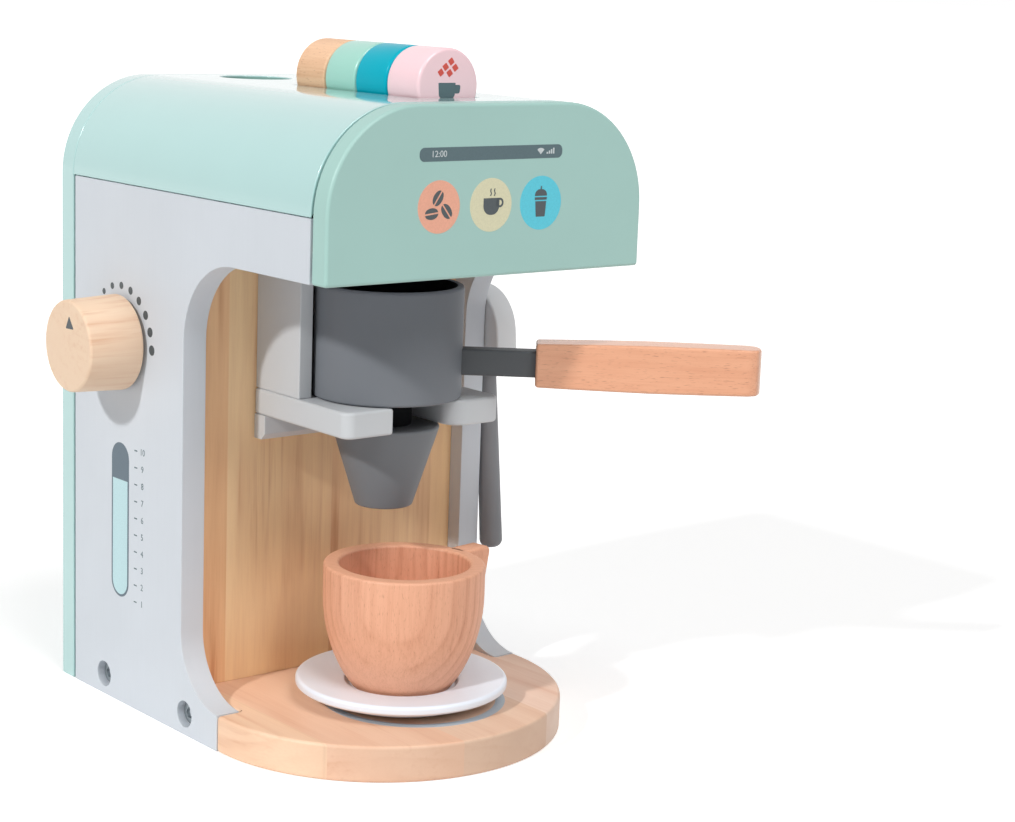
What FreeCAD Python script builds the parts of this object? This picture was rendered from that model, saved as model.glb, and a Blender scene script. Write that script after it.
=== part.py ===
import FreeCAD, Part
import math
import os

import Sketcher

# A wooden toy coffee maker on its table.
# X runs to the right, Y to the back and Z up, in millimetres.
# The origin is under the middle of the case, on the table.
# "Reach" is always a distance from the case's front face, towards the back.

# How near an edge has to lie to a place to count as lying there
NEAR = 1e-4

Vector = FreeCAD.Vector
Rotation = FreeCAD.Rotation
Placement = FreeCAD.Placement

# Driving sizes: name, millimetres or degrees, what it is
SIZES = [
    ("case_width", 150.0, "outside width of the case"),
    ("case_depth", 187.0, "front face to back face"),
    ("case_height", 254.0, "table to the top of the arch"),
    ("shoulder_radius", 40.0, "outer radius of the arch"),
    ("side_wall", 10.5, "side panels"),
    ("arch_wall", 10.5, "bent top shell"),
    ("front_wall", 9.0, "front plate"),
    ("back_wall", 9.5, "back plate"),
    ("base_wall", 14.5, "base plate"),
    ("rear_wall_thickness", 9.0, "pine wall behind the cup"),
    ("deck_wall", 8.0, "deck under the arm"),
    ("edge_round", 1.5, "rounding of the plates' front edges"),
    ("fine_round", 0.9, "rounding of thinner pieces"),
    ("arm_height", 64.0, "underside of the arm to the top of the arch"),
    ("foot_reach", 66.0, "front tip of the side panels' feet"),
    ("bay_reach", 92.7, "upright edge of the side openings"),
    ("bay_round", 32.7, "radius at the top of the side openings"),
    ("rear_wall_reach", 100.0, "front of the pine wall"),
    ("apron_reach", 63.5, "centre of the half-round front of the base"),
    ("capsule_radius", 14.4, "toy capsule"),
    ("capsule_length", 19.7, "toy capsule"),
    ("capsule_corner", 1.2, "rounding of a capsule's rims"),
    ("capsule_gap", 0.35, "between one capsule and the next"),
    ("capsule_fit", 0.5, "capsule to the sides of its slot"),
    ("slot_reach", 28.2, "front end of the capsule slot"),
    ("hopper_radius", 15.0, "round opening in the top"),
    ("hopper_inset", 29.0, "back face to the centre of the round opening"),
    ("shelf_wall", 6.0, "board that closes slot and hopper below"),
    ("shelf_margin", 6.0, "board beyond the slot"),
    ("group_reach", 62.0, "axis of the filter holder"),
    ("fork_half_width", 37.0, "middle to the outside of the fork"),
    ("fork_front_reach", 37.5, "front ends of the fork"),
    ("fork_wall", 10.5, "fork"),
    ("fork_slot", 14.5, "half the width of the fork's slot"),
    ("fork_corner", 4.5, "outer front corners of the fork"),
    ("ledger_wall", 7.5, "batten under the fork"),
    ("ledger_height", 10.0, "batten under the fork"),
    ("ledger_bevel", 2.5, "lower front edge of the batten"),
    ("cheek_height", 55.0, "cheek boards, from the fork to the arm"),
    ("cheek_wall", 6.0, "cheek boards"),
    ("cheek_reach", 70.0, "front edges of the cheeks"),
    ("basket_radius", 29.8, "filter basket"),
    ("basket_height", 44.5, "filter basket"),
    ("basket_wall", 5.0, "filter basket"),
    ("basket_depth", 20.0, "hollow of the filter basket"),
    ("basket_corner", 1.2, "rounding of the basket's rims"),
    ("neck_radius", 10.3, "neck between basket and spout"),
    ("neck_tenon", 8.0, "depth of the neck in basket and spout"),
    ("spout_gap", 0.7, "underside of the fork to the top of the spout"),
    ("spout_height", 33.0, "spout"),
    ("spout_top_radius", 21.8, "spout"),
    ("spout_tip_radius", 11.4, "spout"),
    ("spout_corner", 1.0, "rounding of the spout's rims"),
    ("rod_height", 10.5, "flat bar of the handle"),
    ("rod_thickness", 8.0, "flat bar of the handle"),
    ("rod_rise", 14.8, "top of the fork to the middle of the bar"),
    ("rod_bite", 12.0, "bar inside the basket"),
    ("grip_start", 58.7, "basket axis to the grip"),
    ("grip_length", 89.0, "grip"),
    ("grip_height", 17.4, "grip at the bar"),
    ("grip_end_height", 18.4, "grip at its free end"),
    ("grip_depth", 14.0, "grip, across"),
    ("grip_sweep", 3300.0, "radius of the grip's crowned edges"),
    ("grip_swell", 0.6, "crown of the grip's upper and lower edges"),
    ("grip_bite", 18.0, "bar inside the grip"),
    ("grip_corner", 6.0, "rounding of the grip's free end"),
    ("grip_edge", 1.6, "rounding of the grip's long edges"),
    ("handle_angle", -40.3, "handle from the X axis, seen from above"),
    ("cup_reach", 47.0, "axis of cup and saucer"),
    ("cup_angle", 8.0, "cup's tab from the X axis, seen from above"),
    ("saucer_radius", 42.4, "saucer"),
    ("saucer_height", 8.8, "saucer"),
    ("saucer_rim", 3.3, "thickness of the saucer's rim"),
    ("saucer_dish", 2.0, "saucer's rim above the edge of its hollow"),
    ("saucer_foot_radius", 29.0, "saucer's foot"),
    ("saucer_floor", 4.7, "saucer under the cup"),
    ("saucer_well_radius", 22.7, "hollow for the cup's foot"),
    ("cup_height", 50.0, "cup"),
    ("cup_radius", 32.2, "cup at the rim"),
    ("cup_shoulder_drop", 12.0, "straight part below the rim"),
    ("cup_belly_height", 18.2, "foot to the change of curve"),
    ("cup_belly_radius", 29.3, "cup at the change of curve"),
    ("cup_foot_radius", 20.0, "cup"),
    ("cup_side_curve", 65.0, "upper curve of the cup"),
    ("cup_heel_curve", 55.0, "lower curve of the cup"),
    ("cup_inner_curve", 32.5, "curve inside the cup"),
    ("cup_wall", 6.2, "cup"),
    ("cup_floor", 8.0, "cup"),
    ("tab_reach", 46.5, "cup axis to the end of the tab handle"),
    ("tab_drop", 33.0, "height of the tab handle"),
    ("tab_foot_reach", 41.5, "cup axis to the tab's lower corner"),
    ("tab_foot_rise", 9.0, "tab's lower end to its lower corner"),
    ("tab_wall", 9.0, "tab handle"),
    ("tab_corner", 2.4, "rounding of the tab's upper corner"),
    ("tab_bite", 3.6, "tab inside the cup's wall"),
    ("knob_reach", 137.9, "axis of the dial knob"),
    ("knob_level", 150.8, "table to the knob's axis"),
    ("knob_radius", 19.2, "dial knob"),
    ("knob_length", 23.6, "dial knob"),
    ("knob_corner", 3.0, "rounding of the knob's face"),
    ("knob_screw_radius", 2.0, "shank of the knob's screw"),
    ("knob_screw_bite", 13.0, "screw inside the knob"),
    ("knob_washer_radius", 7.0, "washer behind the knob"),
    ("washer_wall", 1.2, "washers"),
    ("steam_level", 149.3, "table to the steam arm's pivot"),
    ("steam_radius", 19.8, "arched block of the steam arm"),
    ("steam_wall", 11.0, "arched block of the steam arm"),
    ("steam_skirt", 12.0, "straight part below the pivot"),
    ("steam_angle", 5.5, "forward lean of the steam arm as it stands"),
    ("steam_edge", 1.0, "rounding of the arched block's edges"),
    ("wand_offset", 5.2, "wand in front of the pivot"),
    ("wand_length", 83.0, "wand below the block"),
    ("wand_tip_radius", 5.0, "wand at its tip"),
    ("wand_top_radius", 4.2, "wand at the block"),
    ("wand_tip_round", 3.6, "rounding of the wand's tip"),
    ("wand_tenon", 9.0, "wand inside the block"),
    ("wand_tenon_radius", 3.0, "wand inside the block"),
    ("pivot_radius", 2.5, "plain shank of the steam arm's screw"),
    ("pivot_head_radius", 5.5, "head of the steam arm's screw"),
    ("pivot_head_height", 2.4, "head of the steam arm's screw"),
    ("steam_screw_bite", 16.0, "the steam arm's screw inside the pine wall"),
    ("screw_head_radius", 4.4, "heads of the base screws"),
    ("screw_head_height", 3.0, "heads of the base screws"),
    ("screw_radius", 1.9, "shanks of the wood screws"),
    ("screw_length", 28.0, "shanks of the wood screws"),
    ("screw_socket_radius", 2.0, "hexagon socket in a screw's head"),
    ("screw_socket_depth", 1.8, "hexagon socket in a screw's head"),
    ("counterbore_radius", 5.3, "counterbores in the side panels"),
    ("counterbore_depth", 4.0, "counterbores in the side panels"),
    ("base_screw_level", 8.6, "table to the base screws"),
    ("base_screw_front_reach", 89.7, "front base screws"),
    ("base_screw_back_reach", 152.2, "back base screws"),
    ("back_screw_low", 22.0, "table to the lower back screws"),
    ("back_screw_drop", 14.0, "joint of side panel and shell to the upper back screws"),
    ("fork_screw_spread", 25.0, "middle to the fork's screws"),
    ("dowel_radius", 3.0, "wooden dowels"),
    ("dowel_length", 16.0, "wooden dowels"),
    ("dowel_margin", 12.0, "dowels from the ends of what they join"),
    ("hole_fit", 0.1, "play round a shank, a dowel or a tenon"),
    ("turn_fit", 0.05, "play of a turning shank in its bore"),
    ("slide_fit", 0.3, "between pieces that lift, slide or turn apart"),
    ("side_fit", 0.6, "filter basket to the cheeks"),
]


class Size:
    """A number together with the formula that the document binds to it."""

    def __init__(self, value, text):
        self.value = value
        self.text = text

    def __add__(self, other):
        other = size(other)
        return Size(self.value + other.value, f"({self.text} + {other.text})")

    def __sub__(self, other):
        other = size(other)
        return Size(self.value - other.value, f"({self.text} - {other.text})")

    def __mul__(self, other):
        other = size(other)
        return Size(self.value * other.value, f"({self.text} * {other.text})")

    def __truediv__(self, other):
        other = size(other)
        return Size(self.value / other.value, f"({self.text} / {other.text})")

    def __radd__(self, other):
        return size(other) + self

    def __rsub__(self, other):
        return size(other) - self

    def __rmul__(self, other):
        return size(other) * self

    def __neg__(self):
        return Size(-self.value, f"(-1 * {self.text})")


def size(number):
    """Take a plain number as a Size."""
    if isinstance(number, Size):
        return number
    return Size(float(number), f"({float(number)!r})")


doc = FreeCAD.newDocument("ToyCoffeeMaker")
sheet = doc.addObject("Spreadsheet::Sheet", "Sizes")


class Sizes:
    """The driving sizes by name."""


S = Sizes()
for row, (alias, number, note) in enumerate(SIZES, start=1):
    sheet.set(f"A{row}", note)
    sheet.set(f"B{row}", str(number))
    sheet.setAlias(f"B{row}", alias)
    setattr(S, alias, Size(float(number), f"Sizes.{alias}"))
doc.recompute()

# Places that several pieces share
ZERO = size(0)
FRONT = -S.case_depth / 2
BACK = S.case_depth / 2
SIDE = S.case_width / 2
INNER_SIDE = SIDE - S.side_wall
INNER_FRONT = FRONT + S.front_wall
INNER_BACK = BACK - S.back_wall
SHOULDER = S.case_height - S.shoulder_radius
ARCH_UNDER = S.case_height - S.arch_wall
ARM_UNDER = S.case_height - S.arm_height
FORK_TOP = ARM_UNDER - S.cheek_height
REAR_WALL_FRONT = FRONT + S.rear_wall_reach
REAR_WALL_BACK = REAR_WALL_FRONT + S.rear_wall_thickness
GROUP_Y = FRONT + S.group_reach
CUP_Y = FRONT + S.cup_reach
HOPPER_Y = BACK - S.hopper_inset
FORK_UNDER = FORK_TOP - S.fork_wall
BASKET_UNDER = FORK_TOP + S.slide_fit
SPOUT_TOP = FORK_UNDER - S.spout_gap
ROD_LEVEL = FORK_TOP + S.rod_rise
CHEEK_INNER = S.basket_radius + S.side_fit
SAUCER_UNDER = S.base_wall + S.slide_fit
CUP_UNDER = SAUCER_UNDER + S.saucer_floor + S.slide_fit
KNOB_Y = FRONT + S.knob_reach
STEAM_Y = REAR_WALL_FRONT + S.rear_wall_thickness / 2
KNOB_BACK = -SIDE - S.washer_wall - S.slide_fit
STEAM_INNER = SIDE + S.slide_fit
SLOT_LENGTH = 4 * S.capsule_length + 5 * S.capsule_gap
CAPSULE_LEVEL = ARCH_UNDER + S.slide_fit + S.capsule_radius
DOWEL_HALF = S.dowel_length / 2


# Helpers

def bind(thing, **formulas):
    """Bind properties, written with __ for a dot, to sizes."""
    for name, formula in formulas.items():
        thing.setExpression(name.replace("__", "."), size(formula).text)
    return thing


def place(thing, x, y, z, turn=None):
    """Put a piece at a place that follows the sheet."""
    thing.Placement = Placement(Vector(), turn if turn else Rotation())
    return bind(thing, Placement__Base__x=x, Placement__Base__y=y, Placement__Base__z=z)


def place_turned(thing, x, y, z, axis, angle):
    """Put a piece at a place, turned by an angle of the sheet about an axis."""
    place(thing, x, y, z, Rotation(axis, angle.value))
    thing.setExpression("Placement.Rotation.Angle", f"{angle.text} * 1 deg")
    return thing


ALONG_X = Rotation(Vector(0, 1, 0), 90)
AGAINST_X = Rotation(Vector(0, 1, 0), -90)
ALONG_Y = Rotation(Vector(1, 0, 0), -90)
AGAINST_Y = Rotation(Vector(1, 0, 0), 90)


def box(name, length, width, height, x, y, z):
    """A block with its lowest corner at a place."""
    thing = doc.addObject("Part::Box", name)
    bind(thing, Length=length, Width=width, Height=height)
    return place(thing, x, y, z)


def rod(name, radius, length, x, y, z, turn=None):
    """A cylinder that starts at a place."""
    thing = doc.addObject("Part::Cylinder", name)
    bind(thing, Radius=radius, Height=length)
    return place(thing, x, y, z, turn)


def cut(label, base, *tools):
    """A base with the tools cut out of it."""
    for number, tool in enumerate(tools, start=1):
        result = doc.addObject("Part::Cut", f"{label}_cut_{number}")
        result.Base = base
        result.Tool = tool
        base = result
    base.Label = label
    return base


def group(label, things):
    """Loose solids of one kind under one name."""
    result = doc.addObject("Part::Compound", label)
    result.Links = things
    result.Label = label
    return result


def new_body(label):
    """A body with a name of its own."""
    body = doc.addObject("PartDesign::Body", label)
    body.Label = label
    return body


def plane(body, role):
    """One of the body's own origin planes or axes."""
    return next(item for item in body.Origin.OriginFeatures if item.Role == role)


def new_sketch(body, name, role, offset=ZERO):
    """An empty sketch on an origin plane, moved along the plane's normal."""
    sketch = body.newObject("Sketcher::SketchObject", name)
    sketch.AttachmentSupport = (plane(body, role), [""])
    sketch.MapMode = "FlatFace"
    bind(sketch, AttachmentOffset__Base__z=offset)
    return sketch


def pin(sketch, geometry, corner, x, y):
    """Hold a corner of the sketch at sizes from the sheet."""
    for kind, axis, value in (("DistanceX", -2, x), ("DistanceY", -1, y)):
        if value.text == ZERO.text:
            sketch.addConstraint(Sketcher.Constraint("PointOnObject", geometry, corner, axis))
        else:
            rule = Sketcher.Constraint(kind, -1, 1, geometry, corner, value.value)
            sketch.setExpression(f"Constraints[{sketch.addConstraint(rule)}]", value.text)


def outline(sketch, *steps):
    """Draw one closed outline.

    A step is (x, y) for a straight run to that corner, or (x, y, radius, side)
    for an arc: side 1 turns left on the way there, side -1 turns right.
    """
    corners = [(size(step[0]), size(step[1])) for step in steps]
    ends = []
    for number, step in enumerate(steps):
        start = corners[number - 1]
        end = corners[number]
        first = Vector(start[0].value, start[1].value, 0)
        last = Vector(end[0].value, end[1].value, 0)
        if len(step) == 2:
            geometry = sketch.addGeometry(Part.LineSegment(first, last), False)
            ends.append((geometry, 1, 2))
            continue
        radius = size(step[2])
        side = step[3]
        chord = last - first
        across = Vector(-chord.y, chord.x, 0).normalize()
        rise = math.sqrt(max(radius.value ** 2 - (chord.Length / 2) ** 2, 0.0))
        centre = (first + last) * 0.5 + across * (side * rise)
        from_end, to_end = (first, last) if side > 0 else (last, first)
        start_angle = math.atan2(from_end.y - centre.y, from_end.x - centre.x)
        end_angle = math.atan2(to_end.y - centre.y, to_end.x - centre.x)
        if end_angle < start_angle:
            end_angle += 2 * math.pi
        circle = Part.Circle(centre, Vector(0, 0, 1), radius.value)
        geometry = sketch.addGeometry(Part.ArcOfCircle(circle, start_angle, end_angle), False)
        rule = sketch.addConstraint(Sketcher.Constraint("Radius", geometry, radius.value))
        sketch.setExpression(f"Constraints[{rule}]", radius.text)
        ends.append((geometry, 1, 2) if side > 0 else (geometry, 2, 1))
    for number, (geometry, start_corner, _) in enumerate(ends):
        before, _, before_end = ends[number - 1]
        sketch.addConstraint(
            Sketcher.Constraint("Coincident", before, before_end, geometry, start_corner))
    for (geometry, _, end_corner), (x, y) in zip(ends, corners):
        pin(sketch, geometry, end_corner, x, y)
    return sketch


def hole(sketch, x, y, radius):
    """Draw a circle in a sketch."""
    x = size(x)
    y = size(y)
    circle = Part.Circle(Vector(x.value, y.value, 0), Vector(0, 0, 1), size(radius).value)
    geometry = sketch.addGeometry(circle, False)
    rule = sketch.addConstraint(Sketcher.Constraint("Radius", geometry, size(radius).value))
    sketch.setExpression(f"Constraints[{rule}]", size(radius).text)
    pin(sketch, geometry, 3, x, y)


def pad(body, sketch, length, reverse=False):
    """Raise a sketch along its normal, or against it."""
    feature = body.newObject("PartDesign::Pad", sketch.Name + "_pad")
    feature.Profile = sketch
    feature.Reversed = reverse
    bind(feature, Length=length)
    return feature


def pocket(body, sketch, length, reverse=False):
    """Sink a sketch against its normal, or along it, and see that it cuts."""
    doc.recompute()
    before = body.Shape.Volume
    feature = body.newObject("PartDesign::Pocket", sketch.Name + "_pocket")
    feature.Profile = sketch
    feature.Reversed = reverse
    bind(feature, Length=length)
    doc.recompute()
    if not body.Shape.Volume < before:
        raise ValueError(f"{feature.Name} cuts nothing")
    return feature


def turned(label, *steps):
    """A piece turned about Z from half its outline in the XZ plane."""
    body = new_body(label)
    sketch = outline(new_sketch(body, label + "_outline", "XZ_Plane"), *steps)
    feature = body.newObject("PartDesign::Revolution", label + "_turned")
    feature.Profile = sketch
    feature.ReferenceAxis = (sketch, ["V_Axis"])
    feature.Angle = 360
    return body


def soften(body, radius, wanted):
    """Round the edges of a body that a test picks."""
    doc.recompute()
    last = body.Tip
    names = [f"Edge{number}" for number, edge in enumerate(last.Shape.Edges, start=1)
             if wanted(edge)]
    if not names:
        raise ValueError(f"no edge to round on {body.Label}")
    feature = body.newObject("PartDesign::Fillet", f"{body.Name}_round_{len(body.Group)}")
    feature.Base = (last, names)
    bind(feature, Radius=radius)
    return body


def lies_at(edge, axis, value):
    """Tell whether an edge lies in a plane across an axis."""
    low = getattr(edge.BoundBox, axis + "Min")
    high = getattr(edge.BoundBox, axis + "Max")
    return abs(low - value) < NEAR and abs(high - value) < NEAR


def runs_along(edge, axis):
    """Tell whether an edge reaches along an axis."""
    return getattr(edge.BoundBox, axis + "Length") > NEAR


def mirrored_places(*places):
    """The places as given and mirrored to the left side."""
    return [(sign * x, y, z) for x, y, z in places for sign in (size(1), size(-1))]


# Dowels and screws

def dowels(label, radius, length, places, turn=None):
    """Dowels that start at the places, or the bores for them."""
    return group(label, [rod(f"{label}_{number}", radius, length, x, y, z, turn)
                         for number, (x, y, z) in enumerate(places, start=1)])


def wood_screw(name, x, y, z, turn):
    """A screw with a hexagon socket: its head starts at the place and points along the turn."""
    head = rod(name + "_head", S.screw_head_radius, S.screw_head_height, ZERO, ZERO, ZERO)
    shank = rod(name + "_shank", S.screw_radius, S.screw_length + S.screw_head_height,
                ZERO, ZERO, ZERO)
    socket = doc.addObject("Part::Prism", name + "_socket")
    socket.Polygon = 6
    bind(socket, Circumradius=S.screw_socket_radius, Height=S.screw_socket_depth)
    whole = doc.addObject("Part::Fuse", name + "_blank")
    whole.Base = head
    whole.Tool = shank
    screw = cut(name, whole, socket)
    return place(screw, x, y, z, turn)


def screw_bores(label, places, turn):
    """Bores for the shanks of screws whose heads start at the places."""
    return dowels(label, S.screw_radius + S.hole_fit, S.screw_length + S.screw_head_height,
                  places, turn)


BASE_SCREW_X = SIDE - S.counterbore_depth + S.screw_head_height
BASE_SCREW_PLACES = [
    (BASE_SCREW_X, FRONT + S.base_screw_front_reach, S.base_screw_level),
    (BASE_SCREW_X, FRONT + S.base_screw_back_reach, S.base_screw_level),
]
BACK_SCREW_HIGH = SHOULDER - S.back_screw_drop
BACK_SCREW_PLACES = mirrored_places(
    (SIDE - S.side_wall / 2, BACK, S.back_screw_low),
    (SIDE - S.side_wall / 2, BACK, (S.back_screw_low + BACK_SCREW_HIGH) / 2),
    (SIDE - S.side_wall / 2, BACK, BACK_SCREW_HIGH),
)
FORK_SCREW_PLACES = mirrored_places(
    (S.fork_screw_spread, REAR_WALL_BACK + S.screw_head_height, FORK_TOP - S.fork_wall / 2),
)
FRONT_DOWEL_PLACES = mirrored_places(
    (SIDE - S.side_wall / 2, INNER_FRONT - DOWEL_HALF / 2, ARM_UNDER + S.dowel_margin),
    (SIDE - S.shoulder_radius, INNER_FRONT - DOWEL_HALF / 2, S.case_height - S.arch_wall / 2),
)
SHELL_DOWEL_PLACES = mirrored_places(
    (SIDE - S.side_wall / 2, INNER_FRONT + S.dowel_margin * 2, SHOULDER - DOWEL_HALF),
    (SIDE - S.side_wall / 2, INNER_BACK - S.dowel_margin * 2, SHOULDER - DOWEL_HALF),
)
CHEEK_DOWEL_Y = FRONT + (S.cheek_reach + S.rear_wall_reach) / 2
CHEEK_DOWEL_RADIUS = S.dowel_radius / 2
CHEEK_DOWEL_PLACES = mirrored_places(
    (CHEEK_INNER + S.cheek_wall / 2, CHEEK_DOWEL_Y, ARM_UNDER - DOWEL_HALF / 2),
    (CHEEK_INNER + S.cheek_wall / 2, CHEEK_DOWEL_Y, FORK_TOP - DOWEL_HALF / 2),
)


def make_base_screws():
    """Four screws through the side panels into the base."""
    screws = []
    for number, (x, y, z) in enumerate(BASE_SCREW_PLACES, start=1):
        screws.append(wood_screw(f"base_screw_right_{number}", x, y, z, AGAINST_X))
        screws.append(wood_screw(f"base_screw_left_{number}", -x, y, z, ALONG_X))
    return group("base_screws", screws)


def make_back_screws():
    """Six screws through the back plate into the side panels."""
    return group("back_screws", [
        wood_screw(f"back_screw_{number}", x, y, z, AGAINST_Y)
        for number, (x, y, z) in enumerate(BACK_SCREW_PLACES, start=1)])


def make_fork_screws():
    """Two screws through the pine wall into the back of the fork."""
    return group("fork_screws", [
        wood_screw(f"fork_screw_{number}", x, y, z, AGAINST_Y)
        for number, (x, y, z) in enumerate(FORK_SCREW_PLACES, start=1)])


# Case

def make_base_plate():
    """Base: a tail between the side panels and a half-round apron in front."""
    body = new_body("base_plate_blank")
    sketch = new_sketch(body, "base_plate_outline", "XY_Plane")
    centre = FRONT + S.apron_reach
    foot = FRONT + S.foot_reach
    outline(sketch,
            (ZERO, centre - SIDE, SIDE, 1),
            (SIDE, centre, SIDE, 1),
            (SIDE, foot),
            (INNER_SIDE, foot),
            (INNER_SIDE, INNER_BACK),
            (-INNER_SIDE, INNER_BACK),
            (-INNER_SIDE, foot),
            (-SIDE, foot),
            (-SIDE, centre))
    pad(body, sketch, S.base_wall)
    soften(body, S.edge_round,
           lambda edge: lies_at(edge, "Z", S.base_wall.value)
           and edge.BoundBox.YMin < centre.value - NEAR)
    right = screw_bores("base_bores_right", BASE_SCREW_PLACES, AGAINST_X)
    left = screw_bores("base_bores_left", [(-x, y, z) for x, y, z in BASE_SCREW_PLACES], ALONG_X)
    return cut("base_plate", body, right, left)


def side_panel(label, inner_x, outward):
    """Side panel with its C-shaped opening; outward is 1 on the right and -1 on the left."""
    body = new_body(label + "_blank")
    sketch = new_sketch(body, label + "_outline", "YZ_Plane", inner_x)
    foot = FRONT + S.foot_reach
    upright = FRONT + S.bay_reach
    foot_round = S.bay_reach - S.foot_reach
    outline(sketch,
            (INNER_BACK, ZERO),
            (INNER_BACK, SHOULDER),
            (INNER_FRONT, SHOULDER),
            (INNER_FRONT, ARM_UNDER),
            (upright - S.bay_round, ARM_UNDER),
            (upright, ARM_UNDER - S.bay_round, S.bay_round, -1),
            (upright, S.base_wall + foot_round),
            (foot, S.base_wall, foot_round, -1),
            (foot, ZERO))
    pad(body, sketch, S.side_wall, reverse=outward < 0)
    turn = AGAINST_X if outward > 0 else ALONG_X
    sign = size(outward)
    heads = [(sign * SIDE, y, z) for _, y, z in BASE_SCREW_PLACES]
    shanks = [(sign * x, y, z) for x, y, z in BASE_SCREW_PLACES]
    back_places = [spot for spot in BACK_SCREW_PLACES if spot[0].value * outward > 0]
    front_places = [spot for spot in FRONT_DOWEL_PLACES[:2] if spot[0].value * outward > 0]
    shell_places = [spot for spot in SHELL_DOWEL_PLACES if spot[0].value * outward > 0]
    return body, [
        dowels(label + "_counterbores", S.counterbore_radius, S.counterbore_depth, heads, turn),
        screw_bores(label + "_base_bores", shanks, turn),
        screw_bores(label + "_back_bores", back_places, AGAINST_Y),
        dowels(label + "_front_bores", S.dowel_radius + S.hole_fit,
               S.dowel_length + S.hole_fit, front_places, ALONG_Y),
        dowels(label + "_shell_bores", S.dowel_radius + S.hole_fit, S.dowel_length,
               [(x, y, z - S.hole_fit) for x, y, z in shell_places]),
    ]


def make_left_side_panel():
    """Left panel, with the bore of the dial knob's screw."""
    body, tools = side_panel("left_side_panel", -INNER_SIDE, -1)
    bore = rod("knob_bore", S.knob_screw_radius + S.turn_fit, S.side_wall * 2,
               -SIDE - S.side_wall / 2, KNOB_Y, S.knob_level, ALONG_X)
    return cut("left_side_panel", body, bore, *tools)


def make_right_side_panel():
    """Right panel, with the bore of the steam arm's screw."""
    body, tools = side_panel("right_side_panel", INNER_SIDE, 1)
    bore = rod("steam_bore", S.screw_radius + S.hole_fit, S.side_wall * 2,
               INNER_SIDE - S.side_wall / 2, STEAM_Y, S.steam_level, ALONG_X)
    return cut("right_side_panel", body, bore, *tools)


def arch_plate(label, low, face, thickness):
    """A plate with the arch's outline, from a level up; its front or back face is at Y face."""
    body = new_body(label + "_blank")
    sketch = new_sketch(body, label + "_outline", "XZ_Plane", -(face + thickness))
    crown = SIDE - S.shoulder_radius
    outline(sketch,
            (-SIDE, low),
            (SIDE, low),
            (SIDE, SHOULDER),
            (crown, S.case_height, S.shoulder_radius, 1),
            (-crown, S.case_height),
            (-SIDE, SHOULDER, S.shoulder_radius, 1))
    pad(body, sketch, thickness)
    return body


def make_front_plate():
    """Front plate of the arm."""
    body = arch_plate("front_plate", ARM_UNDER, FRONT, S.front_wall)
    soften(body, S.edge_round, lambda edge: lies_at(edge, "Y", FRONT.value))
    bores = dowels("front_plate_bores", S.dowel_radius + S.hole_fit, S.dowel_length,
                   [(x, y - S.hole_fit, z) for x, y, z in FRONT_DOWEL_PLACES], ALONG_Y)
    return cut("front_plate", body, bores)


def make_back_plate():
    """Back plate, from the table to the top of the arch."""
    body = arch_plate("back_plate", ZERO, INNER_BACK, S.back_wall)
    soften(body, S.edge_round, lambda edge: lies_at(edge, "Y", BACK.value))
    heads = dowels("back_plate_heads", S.screw_head_radius + S.hole_fit, S.screw_head_height,
                   BACK_SCREW_PLACES, AGAINST_Y)
    bores = screw_bores("back_plate_bores", BACK_SCREW_PLACES, AGAINST_Y)
    return cut("back_plate", body, heads, bores)


def make_top_shell():
    """Bent top with the capsule slot and the round hopper opening."""
    body = new_body("top_shell_blank")
    sketch = new_sketch(body, "top_shell_outline", "XZ_Plane", -INNER_BACK)
    crown = SIDE - S.shoulder_radius
    inner = SIDE - S.arch_wall
    bend = S.shoulder_radius - S.arch_wall
    outline(sketch,
            (SIDE, SHOULDER),
            (crown, S.case_height, S.shoulder_radius, 1),
            (-crown, S.case_height),
            (-SIDE, SHOULDER, S.shoulder_radius, 1),
            (-inner, SHOULDER),
            (-crown, ARCH_UNDER, bend, -1),
            (crown, ARCH_UNDER),
            (inner, SHOULDER, bend, -1))
    pad(body, sketch, INNER_BACK - INNER_FRONT)
    openings = new_sketch(body, "top_shell_openings", "XY_Plane", S.case_height)
    half = S.capsule_radius + S.capsule_fit
    start = FRONT + S.slot_reach
    outline(openings, (-half, start), (half, start), (half, start + SLOT_LENGTH),
            (-half, start + SLOT_LENGTH))
    hole(openings, ZERO, HOPPER_Y, S.hopper_radius)
    pocket(body, openings, S.arch_wall)
    front_bores = dowels("top_shell_front_bores", S.dowel_radius + S.hole_fit,
                         S.dowel_length + S.hole_fit, FRONT_DOWEL_PLACES[2:], ALONG_Y)
    side_bores = dowels("top_shell_side_bores", S.dowel_radius + S.hole_fit,
                        S.dowel_length + S.hole_fit, SHELL_DOWEL_PLACES)
    return cut("top_shell", body, front_bores, side_bores)


def make_capsule_shelf():
    """Board under the arch that carries the capsules and closes the hopper below."""
    half = S.capsule_radius + S.capsule_fit + S.shelf_margin
    start = FRONT + S.slot_reach - S.shelf_margin
    return box("capsule_shelf", 2 * half, INNER_BACK - start, S.shelf_wall,
               -half, start, ARCH_UNDER - S.shelf_wall)


def make_arm_deck():
    """Board that closes the arm below and carries the cheeks."""
    deck = box("arm_deck_blank", 2 * INNER_SIDE, REAR_WALL_BACK - INNER_FRONT, S.deck_wall,
               -INNER_SIDE, INNER_FRONT, ARM_UNDER)
    bores = dowels("arm_deck_bores", CHEEK_DOWEL_RADIUS + S.hole_fit, DOWEL_HALF + S.hole_fit,
                   CHEEK_DOWEL_PLACES[:2])
    return cut("arm_deck", deck, bores)


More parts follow.
